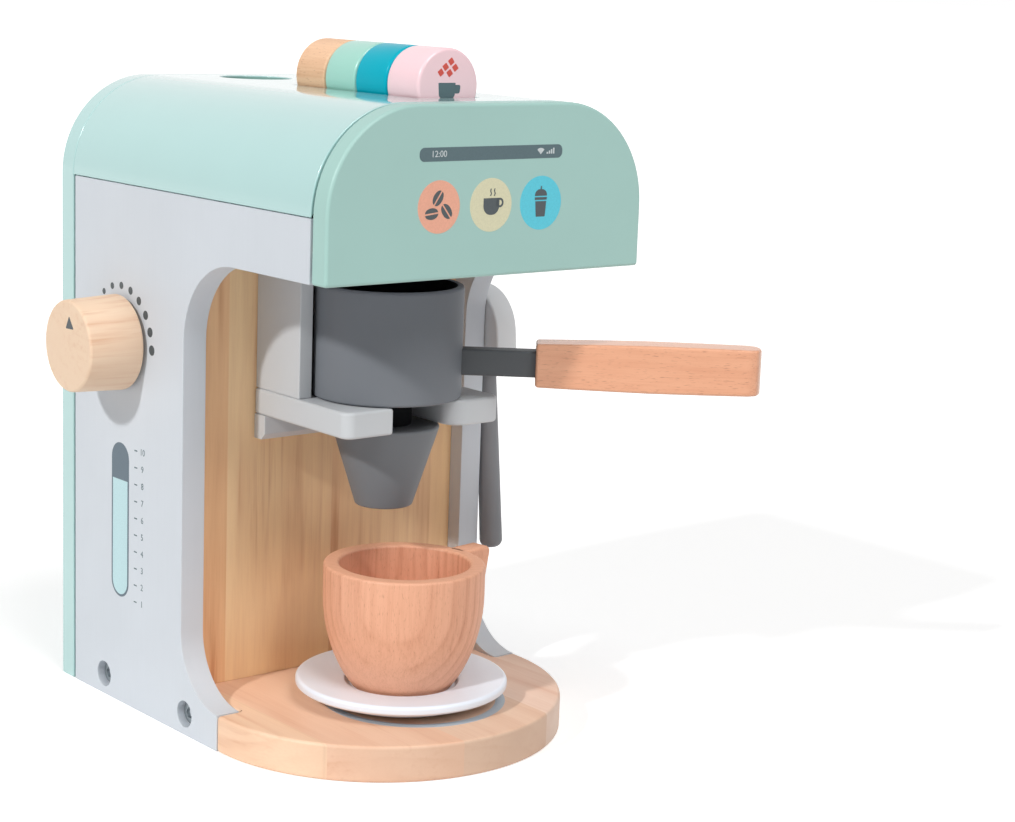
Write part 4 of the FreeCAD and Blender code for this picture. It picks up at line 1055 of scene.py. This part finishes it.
    def shade_hopper_walls(self, shell: Piece) -> None:
        """Give the walls of the hopper's hole a dull, darker paint: painted shade inside the hole."""
        shell.data.materials.append(HOPPER_SHADE_PAINT.material())
        middle = Vector((0, self.hopper_centre))
        for polygon in shell.data.polygons:
            spot = polygon.center / MM
            if (spot.xy - middle).length < self.hopper_radius + 0.3 and spot.z < self.height - 0.6:
                polygon.material_index = 1

    def screws(self) -> None:
        """Build the screws with hexagon sockets in the sides and the back."""
        head = turned("screw", [Corner(0, -6), Corner(1.9, -6), Corner(1.9, -3), Corner(4.4, -3),
                                Corner(4.4, 0, 0.6), Corner(0, 0)], 40)
        clear_selection()
        bpy.ops.mesh.primitive_cylinder_add(vertices=6, radius=2.3 * MM, depth=3.6 * MM)
        socket = called("socket")
        screw = ease(cut(head, socket), 0.15)
        sides = [copied(screw, at(sign * 72.4, y, self.screw_level) @ turn)
                 for sign, turn in ((-1, TO_THE_LEFT), (1, TO_THE_RIGHT))
                 for y in self.screw_places]
        self.keep(joined("side_screws", sides), ZINC, "base_screws")
        backs = [copied(screw, at(x, self.back + 0.3, z) @ LYING_BACK)
                 for x in (-69.75, 69.75) for z in (22.0, 111.0, 200.0)]
        self.keep(joined("rear_screws", backs), ZINC, "back_screws")
        bpy.data.objects.remove(screw)


@dataclass
class HolderFork(SubAssembly):
    """The fork under the filter basket, its batten and the two cheeks."""

    half_width: float = 37.0
    right_end: float = 39.0
    under: float = 124.5
    top: float = 135.0
    slot: float = 14.5
    axis_y: float = -31.5

    def build(self) -> list[Piece]:
        """Build the fork, its batten and the cheeks.

        Returns:
            The pieces.
        """
        fork = block("fork", (-self.half_width, -56, self.under), (self.right_end, 6.5, self.top))
        round_along(fork, 2, 4.5, 8, lambda middle: middle.y < -50)
        slot = block("slot", (-self.slot, -70, self.under - 5),
                     (self.slot, self.axis_y + self.slot, self.top + 5))
        round_along(slot, 2, self.slot - 0.01, 24, lambda middle: middle.y > self.axis_y)
        round_along(cut(fork, slot), 2, 8.0, 10,
                    lambda middle: middle.y < -50 and 10 < middle.x < 20)
        self.keep(ease(fork, 1.2, 3), FORK_PAINT, "holder_fork")
        batten = block("fork_batten", (-self.half_width, -1, self.under - 10),
                       (self.half_width, 6.5, self.under))
        round_along(batten, 0, 2.5, 1, lambda middle: middle.y < 0 and middle.z < 120)
        self.keep(ease(batten, 0.4), FORK_PAINT, "fork_ledger")
        for name, sign in (("left_cheek", -1), ("right_cheek", 1)):
            low, high = sorted((sign * 30.4, sign * 36.4))
            cheek = block(name + "_board", (low, -23.5, self.top), (high, 6.5, 190))
            self.keep(ease(cheek, 0.5), FORK_PAINT, name)
        return self.pieces


@dataclass
class Spout(SubAssembly):
    """The neck through the fork and the tapered spout."""

    body: ClassVar[str] = "spout"
    top: float = 123.8
    height: float = 33.0

    def build(self) -> list[Piece]:
        """Build neck and spout.

        Returns:
            The pieces.
        """
        cone = turned("spout_taper", [Corner(0, 0), Corner(11.4, 0, 1.0),
                                      Corner(21.8, self.height, 1.0), Corner(0, self.height)])
        self.keep(settle(cone, at(0, -31.5, self.top - self.height)), SPOUT_PAINT, "spout_cone")
        neck = turned("spout_collar", [Corner(0, -8), Corner(10.3, -8, 0.5),
                                       Corner(10.3, 19.2, 0.5), Corner(0, 19.2)], 64)
        # The neck's dark slate is darkened to near-black: painted shade of the fork's slot over the
        # neck's own dark grey.
        self.keep(settle(neck, at(0, -31.5, self.top)), SLATE_SHADE_PAINT, "spout_neck")
        return self.pieces


@dataclass
class FilterHolder(SubAssembly):
    """Basket, flat bar and beech grip."""

    body: ClassVar[str] = "filter_holder"
    radius: float = 29.8
    height: float = 44.5
    under: float = 135.3
    bar_level: float = 149.8
    grip_start: float = 58.7
    grip_length: float = 89.0

    def build(self) -> list[Piece]:
        """Build the filter holder.

        Returns:
            The pieces.
        """
        place = at(0, -31.5, 0) @ Matrix.Rotation(HANDLE_TURN, 4, "Z")
        inner, floor = self.radius - 3, self.height - 20
        basket = turned("filter_cup", [
            Corner(0, 0), Corner(self.radius, 0, 1.2), Corner(self.radius, self.height, 1.4),
            Corner(inner, self.height, 0.8), Corner(inner, floor, 1.5), Corner(0, floor)], 128)
        self.keep(settle(basket, at(0, -31.5, self.under)), SLATE_PAINT, "filter_basket")
        # The basket's inner wall and floor get near-black paint: painted shade inside the basket.
        basket.data.materials.append(SLATE_SHADE_PAINT.material())
        for polygon in basket.data.polygons:
            spot = polygon.center / MM - Vector((0, -31.5, self.under))
            inside = spot.xy.length < inner + 0.2 and spot.z > floor - 1
            polygon.material_index = 1 if inside else 0
        bar = block("flat_bar", (17.8, -4, self.bar_level - 5.25), (76.7, 4, self.bar_level + 5.25))
        self.keep(settle(ease(bar, 0.9, 3), place), BAR_PAINT, "filter_bar")
        self.keep(settle(self.grip(), place), GRIP_BEECH, "filter_grip")
        return self.pieces

    def grip(self) -> Piece:
        """Build the grip along X, crowned above and below and rounded at its free end."""
        start, end = self.grip_start, self.grip_start + self.grip_length
        middle = (start + end) / 2
        rise = (17.4 + 18.4) / 4 + 0.6
        low = [Corner(start, -8.7), *bowed((start, -8.7), (middle, -rise), 3300, 4),
               Corner(middle, -rise), *bowed((middle, -rise), (end, -9.2), 3300, 4),
               Corner(end, -9.2)]
        outline = low + [Corner(c.u, -c.v) for c in reversed(low)]
        face = Face((0, 7, self.bar_level), (1, 0, 0), (0, 0, 1))
        grip = sawn("beech_grip", outline, 14, face)
        round_along(grip, 2, 5.0, 2, lambda spot: spot.x > end - 0.1)
        return ease(grip, 1.2, 4, 20)


@dataclass
class SteamArm(SubAssembly):
    """The arched block on the right side and its wand."""

    body: ClassVar[str] = "steam_arm"
    radius: float = 19.8
    skirt: float = 12.0
    lean: float = 5.5
    pivot: Triple = (75.3, 11.0, 149.3)

    def build(self) -> list[Piece]:
        """Build block and wand.

        Returns:
            The pieces.
        """
        place = at(*self.pivot) @ Matrix.Rotation(math.radians(-self.lean), 4, "X")
        side = self.radius
        outline = [Corner(-side, -self.skirt), Corner(side, -self.skirt),
                   Corner(side, side, side - 0.01), Corner(-side, side, side - 0.01)]
        face = Face((0, 0, 0), (0, 1, 0), (0, 0, 1))
        arch = sawn("steam_arch", outline, 11, face, 24)
        bore = turned("bore", [Corner(0, -5), Corner(2.6, -5), Corner(2.6, 15), Corner(0, 15)], 32)
        cut(arch, settle(bore, TO_THE_RIGHT))
        self.keep(settle(ease(arch, 1.0, 3), place), STEAM_PAINT, "steam_block")
        wand = turned("steam_pipe", [Corner(0, -83), Corner(5.0, -83, 3.6), Corner(4.2, 0),
                                     Corner(2.9, 0), Corner(2.9, 8.5), Corner(0, 8.5)], 48)
        settle(wand, place @ at(5.5, -5.2, -self.skirt))
        self.keep(wand, WAND_PAINT, "steam_wand")
        return self.pieces


@dataclass
class Dial(SubAssembly):
    """The turned knob with its pointer."""

    body: ClassVar[str] = "dial"
    radius: float = 19.2
    face_radius: float = 18.2
    length: float = 23.3
    centre: Triple = (-76.5, 44.4, 150.8)

    def build(self) -> list[Piece]:
        """Build knob and pointer.

        Returns:
            The pieces.
        """
        knob = turned("turned_knob", [Corner(0, 0), Corner(self.radius, 0, 1.0),
                                      Corner(self.face_radius, self.length, 1.3),
                                      Corner(0, self.length)], 128)
        self.keep(settle(knob, at(*self.centre) @ TO_THE_LEFT), KNOB_PINE, "dial_knob")
        pointer = Prints.flat("pointer", [Corner(-1.3, 6.95, 0.3), Corner(4.9, 7.25, 0.3),
                                          Corner(1.34, 12.1, 0.3)], KNOB_FACE)
        self.keep(pointer, INK_DARK)
        self.dress_node("knob_screw", ZINC)
        return self.pieces


@dataclass
class CupAndSaucer(SubAssembly):
    """Saucer, turned cup and the cup's tab handle."""

    body: ClassVar[str] = "cup"
    centre_y: float = -46.5
    saucer_under: float = 14.8
    cup_under: float = 19.8
    rim: float = 32.2
    wall: float = 6.2
    height: float = 50.0
    turn: float = 8.0

    def build(self) -> list[Piece]:
        """Build saucer, cup and tab.

        Returns:
            The pieces.
        """
        saucer = turned("turned_saucer", [
            Corner(0, 0), Corner(29, 0, 1.0), Corner(41.4, 4.9, 0.6), Corner(42.4, 5.7, 0.5),
            Corner(42.4, 8.8, 1.4), Corner(22.6, 6.8, 1.2), Corner(22.0, 4.7, 0.8),
            Corner(0, 4.7)], 128)
        self.keep(settle(saucer, at(0, self.centre_y, self.saucer_under)), SAUCER_PAINT, "saucer",
                  body="saucer")
        place = at(0, self.centre_y, self.cup_under) @ Matrix.Rotation(
            math.radians(self.turn), 4, "Z")
        self.keep(settle(self.cup(), place), CUP_BEECH, "cup")
        self.keep(settle(self.tab(), place), CUP_BEECH, "cup_tab")
        return self.pieces

    def cup(self) -> Piece:
        """Build the cup round the origin."""
        rim, top, inner = self.rim, self.height, self.rim - self.wall
        outside = [Corner(0, 0), Corner(20, 0, 0.8), *bowed((20, 0), (29.3, 18.2), 55),
                   Corner(29.3, 18.2), *bowed((29.3, 18.2), (rim, 38), 65), Corner(rim, 38)]
        inside = [Corner(inner, 38), *bowed((inner, 38), (16.9, 8), -32.5), Corner(16.9, 8),
                  Corner(0, 8)]
        return turned("turned_cup", [*outside, Corner(rim, top, 1.2), Corner(inner, top, 1.2),
                                     *inside], 128)

    def tab(self) -> Piece:
        """Build the tab handle round the origin."""
        outline = [Corner(self.rim - 3.5, 17), Corner(self.rim, 17), Corner(41.5, 26, 3),
                   Corner(46.5, 50, 2.4), Corner(self.rim - 3.5, 50)]
        tab = sawn("cup_ear", outline, 9, Face((0, 4.5, 0), (1, 0, 0), (0, 0, 1)))
        return ease(tab, 1.4, 4)


@dataclass
class Capsules(SubAssembly):
    """The four loose capsules on top."""

    radius: float = 14.4
    length: float = 19.7
    level: float = 258.2
    starts: tuple[float, ...] = (-64.95, -44.9, -24.85, -4.8)

    def build(self) -> list[Piece]:
        """Build the capsules, the first at the front.

        Returns:
            The pieces.
        """
        shape = turned("capsule", [Corner(0, 0), Corner(self.radius, 0, 1.3),
                                   Corner(self.radius, self.length, 1.3),
                                   Corner(0, self.length)])
        colours = (("pink", PINK_PAINT), ("teal", TEAL_PAINT), ("mint", MINT_PAINT),
                   ("beech", CAPSULE_BEECH))
        for start, (name, finish) in zip(self.starts, colours):
            capsule = copied(shape, at(0, start, self.level) @ LYING_BACK)
            capsule.name = capsule.data.name = f"{name}_disc"
            self.keep(capsule, finish, f"capsule_{name}", body=f"{name}_capsule")
        bpy.data.objects.remove(shape)
        return self.pieces


@dataclass
class Prints(SubAssembly):
    """Thin prints: display, pictograms, gauge, dial dots and the ring under the saucer."""

    disc_level: float = 216.7
    disc_radius: float = 9.93
    gauge_low: float = 45.0
    gauge_high: float = 109.3
    gauge_level: float = 94.0
    dots_radius: float = 23.7
    ink: ClassVar[float] = 0.05

    @staticmethod
    def flat(name: str, corners: Sequence[Corner], face: Face, layer: int = 0) -> Piece:
        """Print a flat shape.

        Args:
            name: the print's name.
            corners: the shape on the face.
            face: the face that it is printed on.
            layer: how many prints lie below it.

        Returns:
            The print.
        """
        shape = sawn(name, corners, Prints.ink, Face((0, 0, 0), (1, 0, 0), (0, 1, 0)))
        return settle(shape, face.matrix(lift=Prints.ink * layer))

    @staticmethod
    def bar(name: str, low: tuple[float, float], high: tuple[float, float], face: Face,
            layer: int = 0, radius: float = 0.0) -> Piece:
        """Print a bar between two corners, with rounded ends if it has a radius."""
        (a, b), (c, d) = low, high
        corners = [Corner(a, b, radius), Corner(c, b, radius), Corner(c, d, radius),
                   Corner(a, d, radius)]
        return Prints.flat(name, corners, face, layer)

    @staticmethod
    def disc(name: str, u: float, v: float, radius: float, face: Face, layer: int = 0,
             squash: float = 1.0, turn: float = 0.0, vertices: int = 48) -> Piece:
        """Print a disc or an ellipse.

        Args:
            name: the print's name.
            u: its centre across the face.
            v: its centre up the face.
            radius: its radius.
            face: the face that it is printed on.
            layer: how many prints lie below it.
            squash: its height as a share of its width.
            turn: its turn in degrees.
            vertices: points round its edge.

        Returns:
            The print.
        """
        clear_selection()
        bpy.ops.mesh.primitive_circle_add(vertices=vertices, radius=radius * MM, fill_type="NGON")
        piece = called(name)
        with editing(piece, "VERT"):
            bpy.ops.mesh.select_all(action="SELECT")
            bpy.ops.transform.resize(value=(1, squash, 1), center_override=(0, 0, 0))
            bpy.ops.mesh.extrude_region_move(
                TRANSFORM_OT_translate={"value": (0, 0, Prints.ink * MM)})
            bpy.ops.mesh.select_all(action="SELECT")
            bpy.ops.mesh.normals_make_consistent(inside=False)
        place = face.matrix(u, v, Prints.ink * layer)
        return settle(piece, place @ Matrix.Rotation(math.radians(turn), 4, "Z"))

    @staticmethod
    def digits(text: str, u: float, v: float, height: float, face: Face,
               layer: int = 0) -> Piece:
        """Print plain digits, centred on a place."""
        clear_selection()
        bpy.ops.object.text_add()
        curve = bpy.context.object.data
        curve.body, curve.size = text, height / 0.7 * MM
        curve.align_x, curve.align_y = "CENTER", "CENTER"
        curve.extrude = Prints.ink / 2 * MM
        bpy.ops.object.convert(target="MESH")
        piece = called("digits_" + text.replace(":", "_"))
        return settle(piece, face.matrix(u, v, Prints.ink * (layer + 0.5)))

    def build(self) -> list[Piece]:
        """Build the prints.

        Returns:
            The pieces.
        """
        self.display()
        self.pictograms()
        self.gauge()
        dots = []
        for number in range(11):
            turn = math.radians(4 + 17.37 * number)
            dots.append(self.disc(f"dot{number}", -45.9 - self.dots_radius * math.cos(turn),
                                  149.5 + self.dots_radius * math.sin(turn),
                                  0.9 + 0.115 * number, LEFT, vertices=24))
        self.keep(joined("dial_dots", dots), INK_DARK)
        self.ring_under_saucer()
        self.capsule_mark()
        return self.pieces

    def display(self) -> None:
        """Print the dark display bar with plain digits and rising bars."""
        self.keep(self.bar("display", (-34.9, 233.3), (33.0, 238.35), FRONT, radius=2.2), INK_SLATE)
        marks = [self.digits("12:00", -26.0, 235.9, 2.3, FRONT, 1)]
        for number in range(4):
            left = 25.2 + number * 1.05
            marks.append(self.bar(f"step{number}", (left, 234.9), (left + 0.65, 235.6 + number
                                                                    * 0.5), FRONT, 1))
        fan = [Corner(22.3 + 2.4 * math.cos(turn), 234.8 + 2.4 * math.sin(turn))
               for turn in (math.pi * (0.25 + step / 16) for step in range(9))]
        marks.append(self.flat("fan", [Corner(22.3, 234.8), *fan], FRONT, 1))
        self.keep(joined("display_marks", marks), INK_PALE)

    def pictograms(self) -> None:
        """Print three coloured discs with beans, a cup and a lidded beaker."""
        level = self.disc_level
        for name, u, extra, ink in (("bean_disc", -25.4, -0.25, INK_ORANGE),
                                    ("cup_disc", -1.0, 0.0, INK_CREAM),
                                    ("beaker_disc", 23.2, 0.2, INK_BLUE)):
            radius = self.disc_radius + extra
            self.keep(self.disc(name, u, level - extra / 2, radius, FRONT, vertices=96), ink)
        self.keep(self.beans(-25.4, level), INK_DARK)
        self.keep(self.little_cup(-1.0, level), INK_DARK)
        self.keep(self.beaker(23.2, level), INK_DARK)

    def beans(self, u: float, v: float) -> Piece:
        """Print three coffee beans, each of two halves."""
        halves = []
        for number, (du, dv, turn) in enumerate(((-0.5, 3.3, 55), (-3.3, -2.3, 6), (3.6, -1.6, -52))):
            for sign in (-1, 1):
                arc = [Corner(3.0 * math.cos(a), sign * (0.3 + 1.8 * math.sin(a)))
                       for a in (math.pi * i / 14 for i in range(15))]
                half = self.flat(f"half{number}", arc, Face((0, 0, 0), (1, 0, 0), (0, 1, 0)))
                halves.append(settle(half, FRONT.matrix(u + du, v + dv, self.ink)
                                     @ Matrix.Rotation(math.radians(turn), 4, "Z")))
        return joined("beans", halves)

    def little_cup(self, u: float, v: float) -> Piece:
        """Print a cup with a ring handle and two curls of steam."""
        bowl = [Corner(u - 3.6, v + 2.5, 0.2), Corner(u - 3.6, v - 3.7, 3.4),
                Corner(u + 4.0, v - 3.7, 3.4), Corner(u + 4.0, v + 2.5, 0.2)]
        parts = [self.flat("bowl", bowl, FRONT, 1)]
        ring = self.disc("ring", u + 4.2, v + 0.7, 1.8, FRONT, 1, vertices=24)
        hole = settle(turned("hole", [Corner(0, -1), Corner(1.0, -1), Corner(1.0, 1),
                                      Corner(0, 1)], 24), FRONT.matrix(u + 4.2, v + 0.7))
        parts.append(cut(ring, hole))
        for number in range(2):
            left = u - 0.6 + number * 1.8
            curl = [Corner(left, v + 3.3), Corner(left + 0.5, v + 3.3), Corner(left + 0.9, v + 4.2),
                    Corner(left + 0.5, v + 5.1), Corner(left + 0.7, v + 6.0),
                    Corner(left + 0.2, v + 6.0), Corner(left, v + 5.1), Corner(left + 0.4, v + 4.2)]
            parts.append(self.flat(f"curl{number}", curl, FRONT, 1))
        return joined("little_cup", parts)

    def beaker(self, u: float, v: float) -> Piece:
        """Print a beaker with a band, a domed lid and a straw."""
        shapes = {
            "body": [Corner(u - 2.2, v - 5.3, 0.3), Corner(u + 2.2, v - 5.3, 0.3),
                     Corner(u + 2.7, v + 0.5), Corner(u - 2.7, v + 0.5)],
            "band": [Corner(u - 2.9, v + 1.0), Corner(u + 2.9, v + 1.0),
                     Corner(u + 3.0, v + 2.0), Corner(u - 3.0, v + 2.0)],
            "lid": [Corner(u - 3.0, v + 2.5, 0.2), Corner(u + 3.0, v + 2.5, 0.2),
                    Corner(u + 2.9, v + 5.0, 2.4), Corner(u - 2.9, v + 5.0, 2.4)],
            "straw": [Corner(u - 0.3, v + 4.9), Corner(u + 0.3, v + 4.9),
                      Corner(u + 0.4, v + 6.2), Corner(u - 0.2, v + 6.2)]}
        return joined("beaker", [self.flat(name, shape, FRONT, 1)
                                 for name, shape in shapes.items()])

    def gauge(self) -> None:
        """Print the level gauge with its ticks and numbers."""
        low, high, left, right = self.gauge_low, self.gauge_high, -52.5, -39.1
        half, line = (right - left) / 2, 1.0
        self.keep(self.bar("gauge_frame", (left, low), (right, high), LEFT, radius=half - 0.1),
                  INK_GAUGE)
        inner = half - line - 0.05
        fill = [Corner(left + line, low + line, inner), Corner(right - line, low + line, inner),
                Corner(right - line, self.gauge_level), Corner(left + line, self.gauge_level)]
        self.keep(self.flat("gauge_fill", fill, LEFT, 1), INK_AQUA)
        ticks = [self.bar(f"tick{i}", (-34.9, 45.2 + 6.96 * i), (-32.7, 45.7 + 6.96 * i), LEFT)
                 for i in range(10)]
        self.keep(joined("gauge_ticks", ticks), INK_SLATE)
        numbers = [self.digits(str(i + 1), -28.8, 45.4 + 6.96 * i, 2.6, LEFT) for i in range(10)]
        self.keep(joined("gauge_numbers", numbers), INK_SLATE)

    def ring_under_saucer(self) -> None:
        """Paint the grey ring that marks the saucer's place on the base."""
        ring = turned("saucer_ring", [Corner(33.0, 0), Corner(36.8, 0), Corner(36.8, self.ink),
                                      Corner(33.0, self.ink), Corner(33.0, 0)], 128)
        self.keep(settle(ring, BASE_TOP.matrix(2.5, -51.4, 0)), INK_GREY)

    def capsule_mark(self) -> None:
        """Print a plain mark of squares above a mug on the pink capsule."""
        face = Face((0, -64.95, 258.2), (1, 0, 0), (0, 0, 1))
        squares = []
        for number, (u, v) in enumerate(((1.0, 9.3), (-1.6, 7.3), (3.0, 7.0),
                                         (0.4, 5.0), (-3.8, 5.2))):
            square = self.bar(f"square{number}", (-1.15, -1.15), (1.15, 1.15),
                              Face((0, 0, 0), (1, 0, 0), (0, 1, 0)), radius=0.3)
            squares.append(settle(square, face.matrix(u, v) @ Matrix.Rotation(0.65, 4, "Z")))
        self.keep(joined("capsule_squares", squares), INK_RED, body="pink_capsule")
        mug = [Corner(-4.8, 1.4, 0.3), Corner(3.4, 1.4, 0.3), Corner(3.0, -4.4, 1.6),
               Corner(-4.4, -4.4, 1.6)]
        handle = [Corner(3.2, 0.6), Corner(5.8, 0.6, 0.7), Corner(5.4, -2.6, 0.9),
                  Corner(3.1, -2.6)]
        mark = joined("capsule_mug", [self.flat("mug", mug, face), self.flat("ear", handle, face)])
        self.keep(mark, INK_SLATE, body="pink_capsule")


# Studio


class Lamp(Enum):
    """The soft lamps: the way the light goes, its strength, softness in degrees and colour."""

    KEY = ((1.0, 0.15, -0.68), 1.74, 4.0, (1.0, 0.995, 0.985))
    FRONT = ((0.0, 0.62, -0.78), 1.42, 30.0, (1.0, 0.995, 0.99))


@dataclass
class Studio:
    """Floor, light and camera."""

    camera_place: Triple = (-529.55, -729.88, 301.37)
    camera_right: Triple = (0.7664, -0.6413, 0.0365)
    camera_forward: Triple = (0.6352, 0.7481, -0.1920)
    focal: float = 79.64
    world_light: float = 0.235
    floor_colour: RGB = (246, 246, 246)
    floor_glow: float = 0.42

    def build(self) -> None:
        """Set up floor, world, lamps, camera and view."""
        self.floor()
        self.world()
        for lamp in Lamp:
            self.lamp(lamp)
        self.camera()
        bpy.context.scene.view_settings.view_transform = "Standard"

    @staticmethod
    def seen(recipe: Recipe) -> Socket:
        """Give 1 for rays that come from the camera or through gloss or glass."""
        path = recipe.add("ShaderNodeLightPath").outputs
        seen = recipe.math("MAXIMUM", path["Is Camera Ray"], path["Is Glossy Ray"])
        return recipe.math("MAXIMUM", seen, path["Is Transmission Ray"])

    def floor(self) -> None:
        """Lay a plain pale floor that keeps the object's shadow."""
        clear_selection()
        bpy.ops.mesh.primitive_plane_add(size=60.0, location=(0, 0, -0.00005))
        floor = called("floor")
        recipe = Recipe("floor_paper")
        cloud = recipe.noise(recipe.place, 3.0)
        colour = recipe.blend(1.0, on_screen(self.floor_colour),
                              recipe.grey(recipe.spread(cloud, 0.3, 0.7, 0.99, 1.0)), "MULTIPLY")
        recipe.finish(colour, 1.0, Specular_IOR_Level=0.0)
        recipe.shader.inputs["Emission Color"].default_value = (1.0, 1.0, 1.0, 1.0)
        recipe.tree.links.new(recipe.math("MULTIPLY", self.seen(recipe), self.floor_glow),
                              recipe.shader.inputs["Emission Strength"])
        floor.data.materials.append(recipe.material)

    def world(self) -> None:
        """Light the scene evenly and show white where rays leave it."""
        recipe = Recipe("world_light")
        world = bpy.data.worlds.new("studio")
        world.use_nodes = True
        bpy.context.scene.world = world
        recipe.tree = world.node_tree
        strength = recipe.math("MULTIPLY_ADD", self.seen(recipe), 1.0 - self.world_light,
                               self.world_light)
        sky = world.node_tree.nodes["Background"].inputs
        sky["Color"].default_value = (1.0, 1.0, 1.0, 1.0)
        world.node_tree.links.new(strength, sky["Strength"])
        bpy.data.materials.remove(recipe.material)

    @staticmethod
    def lamp(lamp: Lamp) -> None:
        """Hang one soft lamp, so far off that it lights everything evenly."""
        way, strength, softness, colour = lamp.value
        light = bpy.data.lights.new(lamp.name.lower(), "SUN")
        light.energy, light.angle, light.color = strength, math.radians(softness), colour
        holder = bpy.data.objects.new(lamp.name.lower() + "_lamp", light)
        bpy.context.scene.collection.objects.link(holder)
        holder.location = -Vector(way)
        holder.rotation_euler = Vector(way).to_track_quat("-Z", "Y").to_euler()

    def camera(self) -> None:
        """Place the camera at the photograph's viewing angle."""
        data = bpy.data.cameras.new("view")
        data.lens, data.sensor_width = self.focal, 36.0
        data.clip_start, data.clip_end = 0.01, 50.0
        camera = bpy.data.objects.new("view", data)
        bpy.context.scene.collection.objects.link(camera)
        forward = Vector(self.camera_forward).normalized()
        right = Vector(self.camera_right).normalized()
        up = right.cross(forward)
        turn = Matrix((right, up, -forward)).transposed().to_4x4()
        camera.matrix_world = Matrix.Translation(Vector(self.camera_place) * MM) @ turn
        bpy.context.scene.camera = camera


def main() -> None:
    """Build the toy's sub-assemblies in order, then the studio."""
    for kind in (Case, HolderFork, Spout, FilterHolder, SteamArm, Dial, CupAndSaucer, Capsules,
                 Prints):
        for piece in kind().build():
            log.info("%s: %s has %d faces", kind.__name__, piece.name, len(piece.data.polygons))
    Studio().build()


if __name__ == "__main__":
    logging.basicConfig(level=logging.INFO, format="%(message)s")
    main()
